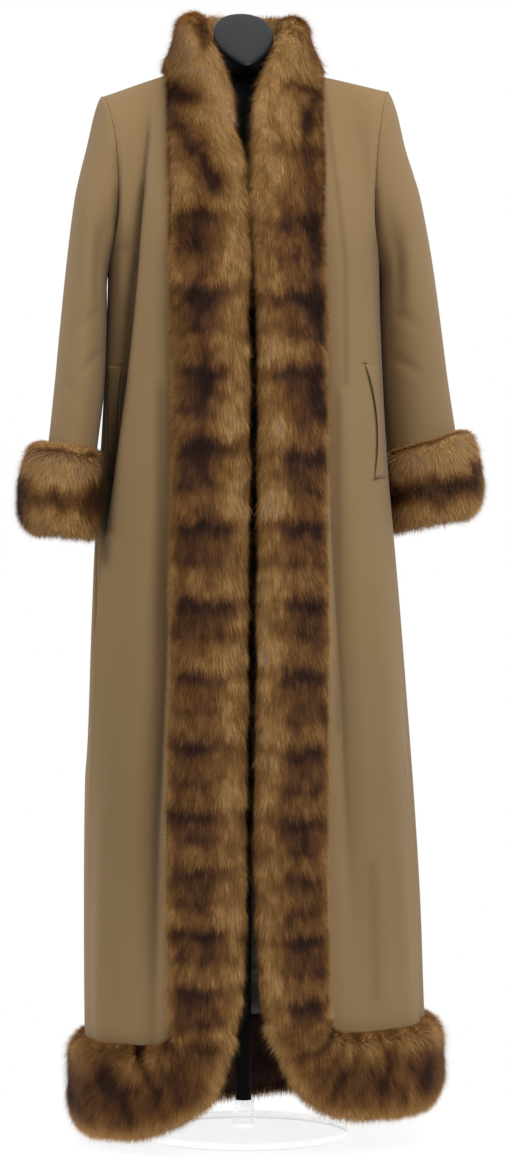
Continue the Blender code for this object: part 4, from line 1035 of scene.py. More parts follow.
def fur_collar(deep):
    """The collar from the right breast round the nape to the left breast, and its stations."""
    halves = zip(collar_half(RIGHT), collar_half(LEFT))
    sewn, edge, part = (np.concatenate([right, left[-2::-1]]) for right, left in halves)
    sewn = sewn + unit(edge - sewn) * COLLAR_STANDS_OFF
    room = COLLAR_ROOM * step_up(part, COLLAR_ROOM_FROM, COLLAR_ROOM_OVER)
    edge = edge + unit(sewn - edge) * room[:, None]
    run = np.gradient((sewn + edge) / 2, axis=0)
    out = unit(np.cross(edge - sewn, run))[:, None, :]
    bulge = (1 - smooth(part / COLLAR_BULGE_UP_TO))[:, None] * 4 * FUR_ACROSS * (1 - FUR_ACROSS)
    rolled = step_up(part, COLLAR_ROLL_FROM, COLLAR_ROLL_OVER)[:, None]
    roll = rolled * eased(*np.array(COLLAR_ROLL).T, FUR_ACROSS)
    base = across_fur(sewn, edge) + out * (COLLAR_BULGE * bulge + roll)[..., None]
    sections = fur_section(base, out, np.full(len(part), COLLAR_FUR * deep), COLLAR_INSIDE)
    level = np.array([ARMPIT_Z])
    ends = strip_sections(RIGHT, level, deep)[0], strip_sections(LEFT, level, deep)[0]
    for end, order in zip(ends, (1, -1)):
        rows = sections[::order]
        shift = end - rows[0]
        for i in range(COLLAR_BLEND):
            rows[i] += shift * (1 - smooth(i / COLLAR_BLEND))
    return sections, part


def fur_cuff(side, deep):
    """A cuff's sections along the sleeve, a ring of them round the sleeve's end."""
    turn = full_turn(2 * YOKE_ROWS)
    depth = CUFF_UNDER + (CUFF_TOPS[side] - CUFF_UNDER) * (1 - np.cos(turn)) / 2
    down = unit(sleeve_ring(side, 0.0, turn) - sleeve_ring(side, CUFF_STEP, turn))
    rings = []
    profile = fine_section(CUFF, FUR_POINTS)
    for to_end, out, face in profile:
        face = smooth(face)
        surface = CUFF_SEAM * face - (CLOTH + CUFF_SEAM) * (1 - face)
        away = surface + out * (depth * deep * face + CUFF_UNDER * (1 - face))
        at = max(to_end, 0.0)
        rings.append(sleeve_ring(side, at, turn, away) + down * (at - to_end))
    return np.array(rings).transpose(1, 0, 2), profile


def on_grid(grid, row, place):
    """Points on the faces of a grid, at rows and places that need not be whole."""
    near = np.minimum(row.astype(int), grid.shape[0] - 2)
    left = np.minimum(place.astype(int), grid.shape[1] - 2)
    return in_cells(grid, near, left, left + 1, (row - near)[..., None], (place - left)[..., None])


def pocket_place(side, part, across, out):
    """Points over a front at a pocket's parts of its height and parts across the front."""
    panel = front_panel(side)
    bottom, inner = front_edges(side)
    z = blend(POCKET_BOTTOM_Z, POCKET_TOP_Z, part) + 0 * across
    row = np.interp(z, inner[:, 1], np.arange(len(inner)))
    place = np.interp(across, parts_of(bottom[:, 0]), np.arange(len(bottom)))
    start = FUR_SEWN[side] / front_quarter(z)
    away = out_of(side * blend(start, 1, across), z)
    return on_grid(panel, row, place) + away * np.broadcast_to(out, z.shape)[..., None]


def pocket_mouth(side, part):
    """Where a pocket's bowed mouth lies, in parts across the front."""
    start, slant, bow = POCKETS[side][:3]
    return start + slant * (1 - part) + bow * np.sin(math.pi * part)


def welt(side):
    """A pocket welt's outer face: proud along the mouth and pressed flat along its sewn edge."""
    part = steps(WELT_ROWS)[:, None]
    step = steps(WELT_COLUMNS)
    mouth = pocket_mouth(side, part)
    start, slant, _, width = POCKETS[side]
    end = start + slant + width
    across = blend(mouth, end, step)
    ends = 1 - np.abs(2 * part - 1) ** WELT_END_POWER
    proud = (1 - smooth(step * WELT_SLOPE)) * blend(WELT_END_OUT, 1, ends)
    return pocket_place(side, part, across, blend(WELT_FLUSH, WELT_OUT, proud))


def mouth_strip(side):
    """A dark strip over the narrow opening beside a welt: painted shade in the pocket's slit."""
    part = steps(WELT_ROWS)[:, None]
    mouth = pocket_mouth(side, part)
    width = POCKET_MOUTH / front_quarter(np.array(POCKET_TOP_Z)) * MOUTH_WIDER
    across = mouth + np.array(MOUTH_STEPS) * width * np.sin(math.pi * part) ** 0.5
    return pocket_place(side, part, across, np.array([MOUTH_EDGE_OUT, MOUTH_OUT, MOUTH_OUT]))


def oval(half_width, front, back, turn):
    """A level oval whose front and back are of their own depth."""
    y = -np.cos(turn)
    return half_width * np.sin(turn), np.where(y < 0, front, back) * y


def neck_ring(turn, grow=0.0, rise=0.0):
    """The neck's sloped top edge, narrower in front, grown outwards and raised."""
    half_width, front, back = NECK_SECTION
    x, y = oval(half_width + grow, front + grow, back + grow, turn)
    taper = np.where(y < 0, NECK_FRONT_TAPER, NECK_BACK_TAPER) * np.cos(turn) ** 2
    return np.stack([x * (1 - taper), y, NECK_TOP_Z + NECK_SLOPE * y + rise], axis=-1)


def form_torso():
    turn = full_turn(FORM_TURNS)
    table = np.array(FORM)
    at = np.linspace(0, len(table) - 1, (len(table) - 1) * FORM_STEPS + 1)
    rings = []
    for z, half_width, front, back, slope in along_path(table, np.arange(len(table)), at):
        x, y = oval(half_width, front, back, turn)
        rings.append(np.stack([x, y, z + slope * y], axis=-1))
    rings.append(neck_ring(turn))
    return np.array(rings)


def form_cap():
    turn = full_turn(FORM_TURNS)
    rings = []
    for size, height in CAP:
        ring = neck_ring(turn, CAP_EDGE, CAP_GAP + height * CAP_HEIGHT)
        middle = ring.mean(axis=0)
        rings.append(blend(middle, ring, size))
    return np.array(rings)


def mottle(x, y, seed):
    """Soft random patches from 0 to 1, one patch for each unit of x and y."""
    table = np.random.default_rng(seed).random((PATCHES, PATCHES))
    table = np.pad(table, (0, 1), mode="wrap").T
    x, y = alike(x, y)
    left = np.floor(x).astype(int)
    low = np.floor(y).astype(int)
    cell = (low % PATCHES, left % PATCHES, left % PATCHES + 1)
    return in_cells(table, *cell, smooth(y - low), smooth(x - left))


def stroke(x, z, first_x, first_z, last_x, last_z):
    """Distance of points from a short line in the front view."""
    run = np.array([last_x - first_x, last_z - first_z])
    along = ((x - first_x) * run[0] + (z - first_z) * run[1]) / (run @ run)
    along = np.clip(along, 0.0, 1.0)
    return np.hypot(x - first_x - along * run[0], z - first_z - along * run[1])


def painted_fold_shade(points, table):
    """How dark the painted shade of strokes along the deepest folds makes points on the coat's front."""
    turn = math.radians(CAMERA_AZIMUTH)
    x = points[..., 0] * math.cos(turn) + points[..., 1] * math.sin(turn)
    z = points[..., 2]
    marks = [strength * bell(stroke(x, z, *line), half) for *line, half, strength in table]
    return np.max(marks, axis=0) * step_down(points[..., 1], SHADE_ENDS_Y, SHADE_ENDS_OVER)


def fleece(u, v, wide, tall, seed):
    """Soft patches of fur of three sizes, from -0.5 to 0.5; the largest are wide and tall."""
    sizes = enumerate(FLEECE)
    return sum(part * mottle(2**i * u / wide, 2**i * v / tall, seed + i) for i, part in sizes) - 0.5


def patchy(u, v, patches, seed):
    """Patches of fur of several strengths and sizes, added up."""
    return sum(part * fleece(u, v, wide, tall, seed + step) for part, wide, tall, step in patches)


def grain(u, v, seed, length=GRAIN_LENGTH):
    """The finest marks, a hair wide, from -0.5 to 0.5."""
    return mottle(u / GRAIN_WIDTH, v / length, seed) - 0.5


def strokes(x, z, table, layers):
    """How dark a table of strokes makes points in the front view."""
    total = 0.0
    for strength, wider, bend, lower in layers:
        level = z + lower
        bent = [
            place + amount * bend * fleece(x, level, wide, tall, seed)
            for place, (amount, wide, tall, seed) in zip((x, level), STROKE_BENDS)
        ]
        marks = [dark * bell(stroke(*bent, *line), half * wider) for *line, half, dark in table]
        total = total + strength * np.max(marks, axis=0)
    return total


def strip_tone(side, z, across):
    """How dark the fur of an upright strip is.

    Each row of skins begins with a dark bar, goes on brown to a thin second bar, and ends golden.
    """
    rows = np.array(BARS[side]) + (BAR_RISE, 0.0, 0.0, 0.0)
    seed = STRIP_SEED + SIDE_SEED * side
    u = across * STRIP_WIDTH
    ragged = z + 0.016 * fleece(u, z, 0.024, 0.060, seed) + 0.007 * grain(u, z, seed + 3, 0.05)
    place = across + 0.20 * fleece(u, z, 0.030, 0.026, seed + 4)
    step = np.interp(-ragged, -rows[:, 0], np.arange(len(rows)))
    near = np.clip(np.floor(step).astype(int), 0, len(rows) - 2)
    phase = step - near

    def reach(row):
        return step_up(place - row[..., 1], -0.12, 0.22) * step_down(place - row[..., 2], -0.16, 0.32)

    above, below = reach(rows[near]), reach(rows[near + 1])
    bars = rows[near, 3] * bell(phase, 0.125) * above + rows[near + 1, 3] * bell(1 - phase, 0.085) * below
    faint = bell(phase, 0.10) + bell(1 - phase, 0.08)
    past = phase - (0.46 + 0.20 * (mottle(near * 3.7, across * 2, seed + 7) - 0.5))
    brown = step_down(past, 0.0, 0.14)
    second = bell(past - 0.06, 0.05)
    golden = step_up(past, 0.10, 0.15) * step_down(phase, 0.84, 0.10)
    outer = step_down(place, 0.48, 0.32)
    streak = step_up(z, STREAK_ABOVE_Z, 0.1) * bell(place - STREAK_AT[side], 0.10)
    tone = 0.27 + 0.22 * outer + 0.235 * bars + 0.07 * faint + brown * (0.02 + 0.09 * above)
    tone = tone + 0.10 * second * (0.3 + outer) - 0.07 * golden
    tone = tone + 0.30 * streak * (0.3 + mottle(across * 6, z * 11, seed + 8))
    tone = tone + patchy(u, z, STRIP_PATCHES, seed) + GRAIN_TONE * grain(u, z, seed + 16)
    dusty = 0.75 * step_down(place, 0.0, 0.19)
    return tone * (1 - dusty) + 0.10 * dusty + 0.06 * step_up(across, 0.90, 0.10)


def collar_tone(points, part, across, side):
    """How dark the collar's fur is: golden, with dark strokes in front and soft streaks behind."""
    x, y, z = points[..., 0], points[..., 1], points[..., 2]
    level = x + 0.8 * y
    tone = 0.20 - 0.04 * step_up(z, 1.39, 0.08) - 0.07 * step_up(-x, 0.0, 0.03)
    tone = tone + patchy(level, z, COLLAR_PATCHES, 0)
    tone = tone + step_down(y, -0.03, 0.05) * strokes(x, z, COLLAR_STROKES, COLLAR_LAYERS)
    streaks = step_up(mottle(part * 14 * side, across * 2.2, COLLAR_SEED), 0.50, 0.35)
    tone = tone + 0.7 * step_up(part, 0.95, 0.25) * streaks * (1 - 0.6 * across)
    low = np.where(side < 0, strip_tone(RIGHT, z, across), strip_tone(LEFT, z, across))
    mix = step_down(z, 1.19, 0.08)
    return tone * (1 - mix) + low * mix + GRAIN_TONE * grain(level, z, COLLAR_SEED + 1)


def hem_tone(points, along, across, table, seed):
    """How dark the hem's fur is: golden lobes at the top, furrows between them and a dark middle.

    Without a table of strokes, the furrows are stripes at uneven distances.
    """
    down = across * HEM_WIDTH
    middle = step_up(across, 0.12, 0.25) * step_down(across, 0.62, 0.22)
    if table:
        marks = strokes(points[..., 0], points[..., 2], table, HEM_LAYERS)
    else:
        bent = along + 0.012 * (mottle(along * 25, across * 4, seed) - 0.5)
        wide = bent / STRIPE_SPACING + 0.9 * mottle(bent * 12, 0 * bent, seed + 1)
        near = np.round(wide)
        stripe = bell(wide - near, 0.20) * (0.4 + 0.6 * mottle(near * 1.7, across * 2, seed + 2))
        marks = stripe * (0.30 + 0.35 * middle)
    lobes = step_down(across, 0.02, 0.34) * step_down(marks, 0.0, 0.4)
    tone = 0.35 + 0.13 * middle + marks - 0.14 * lobes
    tone = tone + patchy(along, down, HEM_PATCHES, seed) + GRAIN_TONE * grain(along, down, seed + 9)
    dusty = 0.8 * step_up(across, 0.76, 0.20)
    return tone * (1 - dusty) + 0.16 * dusty


def cuff_tone(points, to_end, turn, side):
    """How dark a cuff's fur is: a dark band round its middle, golden above and below."""
    seed = CUFF_SEED + SIDE_SEED * side
    round_it = turn * CUFF_RADIUS
    front = step_down(points[..., 1] - sleeve_value(side, "middle_y", 0.04), 0.01, 0.04)
    band = bell(to_end + 0.020 * fleece(round_it, to_end, 0.030, 0.030, seed) - 0.042, 0.014)
    marks = strokes(points[..., 0], points[..., 2], CUFF_STROKES[side], CUFF_LAYERS)
    plain = 0.45 * band * (0.4 + mottle(turn * 2.2, 0 * turn, seed + 4))
    tone = 0.10 + 0.12 * band + front * marks + (1 - front) * plain
    return tone + patchy(round_it, to_end, CUFF_PATCHES, seed) + 0.08 * grain(round_it, to_end, seed + 8)


class Value:
    """A socket of a shader tree, with which expressions add their Math nodes."""

    def __init__(self, tree, socket=None):
        self.tree = tree
        self.socket = socket

    def node(self, kind, settings, inputs, output=0):
        """A new node: its settings are set first, then its sockets' values or links."""
        made = self.tree.nodes.new(kind)
        for name, value in settings.items():
            if name == "stops":
                stops = made.color_ramp.elements
                while len(stops) < len(value):
                    stops.new(0.5)
                for stop, (place, colour) in zip(stops, value):
                    stop.position = place
                    stop.color = (*colour, 1.0)
            else:
                setattr(made, name, value)
        for name, value in inputs.items():
            if isinstance(value, Value):
                self.tree.links.new(value.socket, made.inputs[name])
            else:
                made.inputs[name].default_value = value
        return Value(self.tree, made.outputs[output])

    def maths(self, operation, first, second):
        return self.node("ShaderNodeMath", {"operation": operation}, {0: first, 1: second})

    def __add__(self, other):
        return self.maths("ADD", self, other)

    def __sub__(self, other):
        return self.maths("SUBTRACT", self, other)

    def __rsub__(self, other):
        return self.maths("SUBTRACT", other, self)

    def __mul__(self, other):
        return self.maths("MULTIPLY", self, other)

    __radd__ = __add__
    __rmul__ = __mul__


def shade(colour, share):
    """A colour made lighter or darker."""
    return tuple(min(1.0, part * share) for part in colour[:3])


def new_look(name, colour, roughness, constants=()):
    """A material with plain values, its tree and its shader."""
    made = bpy.data.materials.new(name)
    made.use_nodes = True
    made.diffuse_color = (*colour[:3], 1.0)
    shader = made.node_tree.nodes["Principled BSDF"]
    shader.inputs["Base Color"].default_value = (*colour[:3], 1.0)
    shader.inputs["Roughness"].default_value = roughness
    for socket, value in constants:
        shader.inputs[socket].default_value = value
    return made, Value(made.node_tree), shader


def join(tree, value, shader, socket):
    tree.tree.links.new(value.socket, shader.inputs[socket])


def noise(tree, places, scale, stretch=(1.0, 1.0, 1.0), detail=2.0):
    """Noise on the object's own coordinates, stretched along its axes."""
    moved = tree.node("ShaderNodeMapping", {}, {"Vector": places, "Scale": stretch})
    return tree.node(
        "ShaderNodeTexNoise",
        {},
        {"Vector": moved, "Scale": scale, "Detail": detail, "Roughness": NOISE_ROUGHNESS},
    )


def mixed(tree, factor, first, second):
    """Two colours, or a colour worked out before and another, mixed by a factor."""
    first, second = (end if isinstance(end, Value) else (*end, 1.0) for end in (first, second))
    return tree.node("ShaderNodeMix", {"data_type": "RGBA"}, {0: factor, 6: first, 7: second}, 2)


def bumped(tree, height, strength, distance):
    return tree.node(
        "ShaderNodeBump", {}, {"Height": height, "Strength": strength, "Distance": distance}
    )


def object_places(tree):
    return tree.node("ShaderNodeTexCoord", {}, {}, "Object")


@cache
def wool_look():
    """Smooth brushed wool: a fine nap running down, faint cloudy colour, painted shade in deep folds."""
    settings = bpy.context.scene.coat_cloth
    wool = settings.wool_colour
    constants = (*WOOL_SHEEN, ("Sheen Weight", settings.sheen))
    made, tree, shader = new_look("wool_cloth", wool, WOOL_ROUGHNESS, constants)
    places = object_places(tree)
    nap = noise(tree, places, NAP_SCALE, NAP_STRETCH)
    cloud = noise(tree, places, CLOUD_SCALE, CLOUD_STRETCH)
    amount = nap * NAP_SHARE + cloud * CLOUD_SHARE - WOOL_BALANCE
    colour = mixed(tree, amount, shade(wool, WOOL_DARK), shade(wool, WOOL_LIGHT))
    # Painted shade: the wool's colour is darkened in deep folds
    hollow = tree.node("ShaderNodeAttribute", {"attribute_name": PAINTED_SHADE_ATTRIBUTE}, {}, "Fac")
    colour = mixed(tree, hollow * settings.hollow, colour, shade(wool, PAINTED_SHADE_SHARE))
    join(tree, colour, shader, "Base Color")
    join(tree, bumped(tree, nap, *NAP_BUMP), shader, "Normal")
    return made


@cache
def satin_look():
    """Dark satin with fine creases, and painted light and shade that follow the creases."""
    satin = bpy.context.scene.coat_cloth.satin_colour
    made, tree, shader = new_look("lining_satin", satin, SATIN_ROUGHNESS)
    crumple = noise(tree, object_places(tree), CRUMPLE_SCALE, CRUMPLE_STRETCH, CRUMPLE_DETAIL)
    join(tree, bumped(tree, crumple, *CRUMPLE_BUMP), shader, "Normal")
    # Painted light and shade: the colour follows the crumples' bumps
    colour = mixed(tree, crumple, shade(satin, SATIN_PAINTED_SHADE), shade(satin, SATIN_PAINTED_LIGHT))
    join(tree, colour, shader, "Base Color")
    return made


@cache
def plain_look(name):
    """Painted slit shade or thread, in shades of the wool's colour."""
    middle, dark, light, roughness, scale = PLAIN_LOOKS[name]
    wool = bpy.context.scene.coat_cloth.wool_colour
    made, tree, shader = new_look(name, shade(wool, middle), roughness)
    fine = noise(tree, object_places(tree), scale)
    join(tree, mixed(tree, fine, shade(wool, dark), shade(wool, light)), shader, "Base Color")
    return made


@cache
def fur_look():
    """Fur whose map holds the pelt's tone across and the hair's lightness up; lightness holds painted shade.
    """
    settings = bpy.context.scene.coat_fur
    made, tree, shader = new_look("fur", settings.golden, FUR_ROUGHNESS, FUR_SHINE)
    places = tree.node("ShaderNodeUVMap", {"uv_map": FUR_MAP}, {})
    tone = tree.node("ShaderNodeSeparateXYZ", {}, {"Vector": places}, "X")
    light = tree.node("ShaderNodeSeparateXYZ", {}, {"Vector": places}, "Y")
    stops = [(place, tuple(getattr(settings, name))) for name, place in FUR_STOPS]
    stops.append((1.0, shade(settings.dark, FUR_DARKEST)))
    colour = tree.node("ShaderNodeValToRGB", {"stops": stops}, {"Fac": tone})
    bright = light * FUR_LIGHT + FUR_LEAST_LIGHT
    grey = tree.node("ShaderNodeCombineColor", {}, {"Red": bright, "Green": bright, "Blue": bright})
    lit = tree.node(
        "ShaderNodeMix", {"data_type": "RGBA", "blend_type": "MULTIPLY"}, {0: 1.0, 6: colour, 7: grey}, 2
    )
    join(tree, lit, shader, "Base Color")
    return made


@cache
def form_look(name):
    """A painted, covered or clear surface with a fine grain."""
    setting, roughness, scale, strength, constants = FORM_LOOKS[name]
    colour = tuple(getattr(bpy.context.scene.coat_form, setting))
    made, tree, shader = new_look(name, colour, roughness, constants)
    fine = noise(tree, object_places(tree), scale)
    mix = mixed(tree, fine, shade(colour, FORM_DARK), shade(colour, FORM_LIGHT))
    join(tree, mix, shader, "Base Color")
    join(tree, bumped(tree, fine, strength, FORM_BUMP), shader, "Normal")
    return made


def take(obj):
    """Makes an object the only selected and active one."""
    bpy.ops.object.select_all(action="DESELECT")
    obj.select_set(True)
    bpy.context.view_layer.objects.active = obj
    return obj


def add(name, mesh, *looks):
    for one in looks:
        mesh.materials.append(one)
    mesh.polygons.foreach_set("use_smooth", np.ones(len(mesh.polygons), bool))
    made = bpy.data.objects.new(name, mesh)
    bpy.context.scene.collection.objects.link(made)
    return take(made)


def surface(name, grid, around):
    """Faces between the rows of a grid of points; around joins each row's ends."""
    rows, columns = grid.shape[:2]
    last = columns if around else columns - 1
    near = (np.arange(rows - 1)[:, None] * columns + np.arange(last)).ravel()
    after = (np.arange(rows - 1)[:, None] * columns + (np.arange(last) + 1) % columns).ravel()
    faces = np.stack([near, after, after + columns, near + columns], axis=-1)
    mesh = bpy.data.meshes.new(name)
    mesh.from_pydata(grid.reshape(-1, 3).tolist(), [], faces.tolist())
    return mesh


def painted_crease_shade(grid):
    """How deep each point of a cloth grid lies in a fold, from 0 to 1: the strength of painted shade there.
    """
    normals = outward_normals(grid)
    even = grid.copy()
    for _ in range(HOLLOW_PASSES):
        wide = np.concatenate([even[:, :1], even, even[:, -1:]], axis=1)
        even = (wide[:, :-2] + 2 * even + wide[:, 2:]) / 4
    return smooth(((even - grid) * normals).sum(axis=-1) / HOLLOW_DEPTH)


def sheet(name, grid, wall, looks, around=False, turned=False, hollow=None):
    """Cloth: an open surface with its wall on the inner side, whose inner face has the last look."""
    mesh = surface(name, grid, around)
    # Painted shade, darkest in deep folds, carried as an attribute of the points
    if hollow is not None:
        mesh.attributes.new(PAINTED_SHADE_ATTRIBUTE, "FLOAT", "POINT").data.foreach_set("value", hollow.ravel())
    if turned:
        mesh.flip_normals()
    made = add(name, mesh, *looks)
    thick = made.modifiers.new("wall", "SOLIDIFY")
    thick.thickness = wall
    thick.offset = -1.0
    thick.use_even_offset = True
    thick.use_quality_normals = True
    thick.material_offset = len(looks) - 1
    bpy.ops.object.modifier_apply(modifier=thick.name)
    return made


def loft(name, sections, look_of, joined=False):
    """A closed body through closed sections; its ends are filled, or joined to each other."""
    rings = np.concatenate([sections, sections[:1]]) if joined else sections
    mesh = surface(name, rings, True)
    work = bmesh.new()
    work.from_mesh(mesh)
    if joined:
        bmesh.ops.remove_doubles(work, verts=work.verts, dist=MERGE)
    else:
        bmesh.ops.holes_fill(work, edges=work.edges, sides=0)
    bmesh.ops.recalc_face_normals(work, faces=work.faces)
    work.to_mesh(mesh)
    work.free()
    return add(name, mesh, look_of)


def grid_normals(grid, around):
    """Directions out of a grid's faces at its points, as the cross of its two runs."""
    if around:
        down = (np.roll(grid, -1, axis=1) - np.roll(grid, 1, axis=1)) / 2
    else:
        down = np.gradient(grid, axis=1)
    return unit(np.cross(np.gradient(grid, axis=0), down))


def outward_normals(grid):
    """Directions out of a cloth grid, away from the form's axis."""
    normals = grid_normals(grid, False)
    return normals * np.sign((normals * (grid * (1.0, 1.0, 0.0))).sum(axis=-1, keepdims=True))


def dip_edges(grid, rows=(), columns=(), depth=SEAM_DIP):
    """Draws a grid's edge rows and columns in towards the inside, as a sewn seam does."""
    drawn = grid - outward_normals(grid) * depth
    moved = grid.copy()
    for row in rows:
        moved[row] = drawn[row]
    for place in columns:
        moved[:, place] = drawn[:, place]
    return moved


def write_map(mesh, tone, light):
    """Gives a fur mesh its map: the pelt's tone across and the hair's lightness up, at its points."""
    corners = np.empty(len(mesh.loops), np.int32)
    mesh.loops.foreach_get("vertex_index", corners)
    places = np.stack([tone, light], axis=-1).clip(*MAP_ENDS).astype(np.float32)
    made = mesh.uv_layers.new(name=FUR_MAP)
    made.uv.foreach_set("vector", places[corners].ravel())


class Pelt:
    """A fur piece's grid of sections, with the hair's flow and what its tone depends on at each point."""

    def __init__(self, sections, flow, coords, tone_at, cover, rim, joined=False):
        coords = np.stack(np.broadcast_arrays(*coords, rim, sections[..., 0])[:-1], axis=-1)
        if joined:
            sections, flow, coords = (np.concatenate([a, a[:1]]) for a in (sections, flow, coords))
        self.sections = sections
        self.flow = flow
        self.coords = coords
        self.tone_at = tone_at
        self.cover = cover
        normals = grid_normals(sections, True)
        middle = sections.mean(axis=1, keepdims=True)
        facing = ((sections - middle) * normals).sum(axis=-1, keepdims=True).mean()
        self.normals = normals * (1 if facing > 0 else -1)

    def tone(self, points, coords):
        return self.tone_at(points, *np.moveaxis(coords[..., :-1], -1, 0))

    def cells(self):
        """Each cell's area, weighted by how much hair it carries."""
        across = np.roll(self.sections, -1, axis=1) - self.sections
        along = self.sections[1:] - self.sections[:-1]
        area = np.linalg.norm(np.cross(across[:-1], along), axis=-1)
        return area * self.cover

    def pick(self, count, rng):
        """Values at random places: point, normal, flow, what the tone depends on, and the rim's share."""
        weight = self.cells()
        chosen = rng.choice(weight.size, count, p=(weight / weight.sum()).ravel())
        row, place = np.divmod(chosen, weight.shape[1])
        up = rng.random(count)[:, None]
        along = rng.random(count)[:, None]
        cell = (row, place, (place + 1) % weight.shape[1], up, along)
        grids = (self.sections, self.normals, self.flow, self.coords)
        point, normal, flow, coords = (in_cells(grid, *cell) for grid in grids)
        return point, unit(normal), unit(flow), coords


def grow(name, pelt, seed, share, lift, splay, longer=1.0):
    """Hair on a pelt, a share of the coat's: a thin triangle for each strand, combed along the flow."""
    settings = bpy.context.scene.coat_fur
    rng = np.random.default_rng(seed)
    count = int(settings.hairs * share)
    length = settings.hair_length * longer
    root, normal, flow, coords = pelt.pick(count, rng)
    tone = pelt.tone(root, coords)
    rim = coords[:, -1]
    lie = flow - np.minimum((flow * normal).sum(axis=-1, keepdims=True), 0.0) * normal
    level = root[:, 0] + LEVEL_SLANT * root[:, 1]
    lock, strand = (
        mottle(level / wide, root[:, 2] / tall, seed) - 0.5 for wide, tall, seed in (LOCKS, STRANDS)
    )
    guard = (rng.random(count) < settings.guard_share).astype(float)
    swing = splay * rng.standard_normal(count) + LOCK_SWING * lock + STRAND_SWING * strand
    lie = lie + unit(np.cross(normal, lie)) * swing[:, None]
    angle = lift * (LIFT_LEAST + LIFT_VARIES * rng.random(count)) * (1 + LIFT_LOCKS * lock)
    rise = np.tan(angle) * (1 + LIFT_GUARD * guard) + LIFT_RIM * rim
    way = unit(lie * (1 - RIM_LIES_LESS * rim)[:, None] + normal * rise[:, None])
    reach = length * (REACH_LEAST + REACH_VARIES * rng.random(count))
    reach = reach * (1 + REACH_GUARD * guard) * (1 - REACH_RIM * rim)
    reach = reach * (REACH_PRESSED + REACH_LYING * np.linalg.norm(lie, axis=-1).clip(0, 1))
    aside = unit(np.cross(normal, way))
    roll = (ROLL * rng.standard_normal(count))[:, None]
    across = aside * np.cos(roll) + np.cross(way, aside) * np.sin(roll)
    half = settings.hair_width / 2 * (WIDTH_LEAST + WIDTH_VARIES * rng.random(count))
    across = across * (half * (1 - WIDTH_GUARD * guard))[:, None]
    bottom = root - normal * ROOT_DEPTH
    points = np.stack([bottom - across, bottom + across, bottom + way * reach[:, None]], axis=1)
    points[..., 2] = np.maximum(points[..., 2], FLOOR_CLEAR)
    # Painted light and shade of locks and strands, and a random change of each hair's lightness
    own = LIGHT_VARIES * rng.standard_normal(count) + STRAND_PAINTED_SHADE * strand + LOCK_PAINTED_SHADE * lock
    tones = (tone + TONE_VARIES * rng.standard_normal(count))[:, None] + np.array(HAIR_TONES)
    light = own[:, None] + np.array(HAIR_LIGHTS)
    mesh = bpy.data.meshes.new(name)
    mesh.vertices.add(count * 3)
    mesh.vertices.foreach_set("co", points.astype(np.float32).ravel())
    mesh.loops.add(count * 3)
    mesh.loops.foreach_set("vertex_index", np.arange(count * 3, dtype=np.int32))
    mesh.polygons.add(count)
    mesh.polygons.foreach_set("loop_start", np.arange(0, count * 3, 3, dtype=np.int32))
    mesh.update(calc_edges=True)
    write_map(mesh, tones.ravel(), light.ravel())
    made = add(name, mesh, fur_look())
    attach(made, BODY_NAME)
    return made


def undercoat(name, pelt, node, joined=False):
    """The soft body of a fur piece under its hair, which stands for its solid."""
    sections = pelt.sections[:-1] if joined else pelt.sections
    coords = pelt.coords[:-1] if joined else pelt.coords
    tone = pelt.tone(sections, coords)
    made = loft(name, sections, fur_look(), joined)
    tones = tone.ravel()
    if joined:
        tones = tones[: len(made.data.vertices)]
    # Painted shade: the undercoat is darker than the hair over it
    light = UNDER_PAINTED_SHADE_LIGHT + UNDER_LIGHT_VARIES * np.sin(np.arange(len(tones)))
    write_map(made.data, tones, light)
    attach(made, BODY_NAME)
    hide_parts(node)
    return made


def lumpy(sections, amount, size, seed):
    """Sections moved in and out by soft lumps, as pelts sewn side by side are."""
    middle = sections.mean(axis=1, keepdims=True)
    out = unit(sections - middle)
    lumps = mottle(sections[..., 0] / size + sections[..., 1] / size, sections[..., 2] / size, seed) - 0.5
    return sections + out * (amount * lumps)[..., None]


def outer_cover(inside, edge=0.55):
    """How much hair each part of a fur section carries: all outside, less at the edge, little inside."""
    outside = (FUR_OUT > 0.12) | ((FUR_ACROSS < 0.05) & (FUR_OUT > -0.05))
    round_edge = (FUR_ACROSS > 0.93) & ~outside
    return np.where(outside, 1.0, np.where(round_edge, edge, inside))


Colour = partial(FloatVectorProperty, subtype="COLOR")
Length = partial(FloatProperty, unit="LENGTH")
Share = partial(FloatProperty, subtype="FACTOR")


class CoatCloth(bpy.types.PropertyGroup):
    """Sizes and colours of the cloth"""

    wall: Length(name="Wool wall", description="Thickness of the wool", default=CLOTH)
    wool_colour: Colour(name="Wool", description="Colour of the wool", default=(0.292, 0.190, 0.090))
    satin_colour: Colour(name="Satin", description="Colour of the lining", default=(0.014, 0.011, 0.009))
    # Strength of the painted shade that darkens the wool in deep folds
    hollow: Share(name="Hollows", description="How much darker the nap is in deep folds", default=0.7)
    sheen: Share(name="Sheen", description="Soft light on the nap", default=0.08)


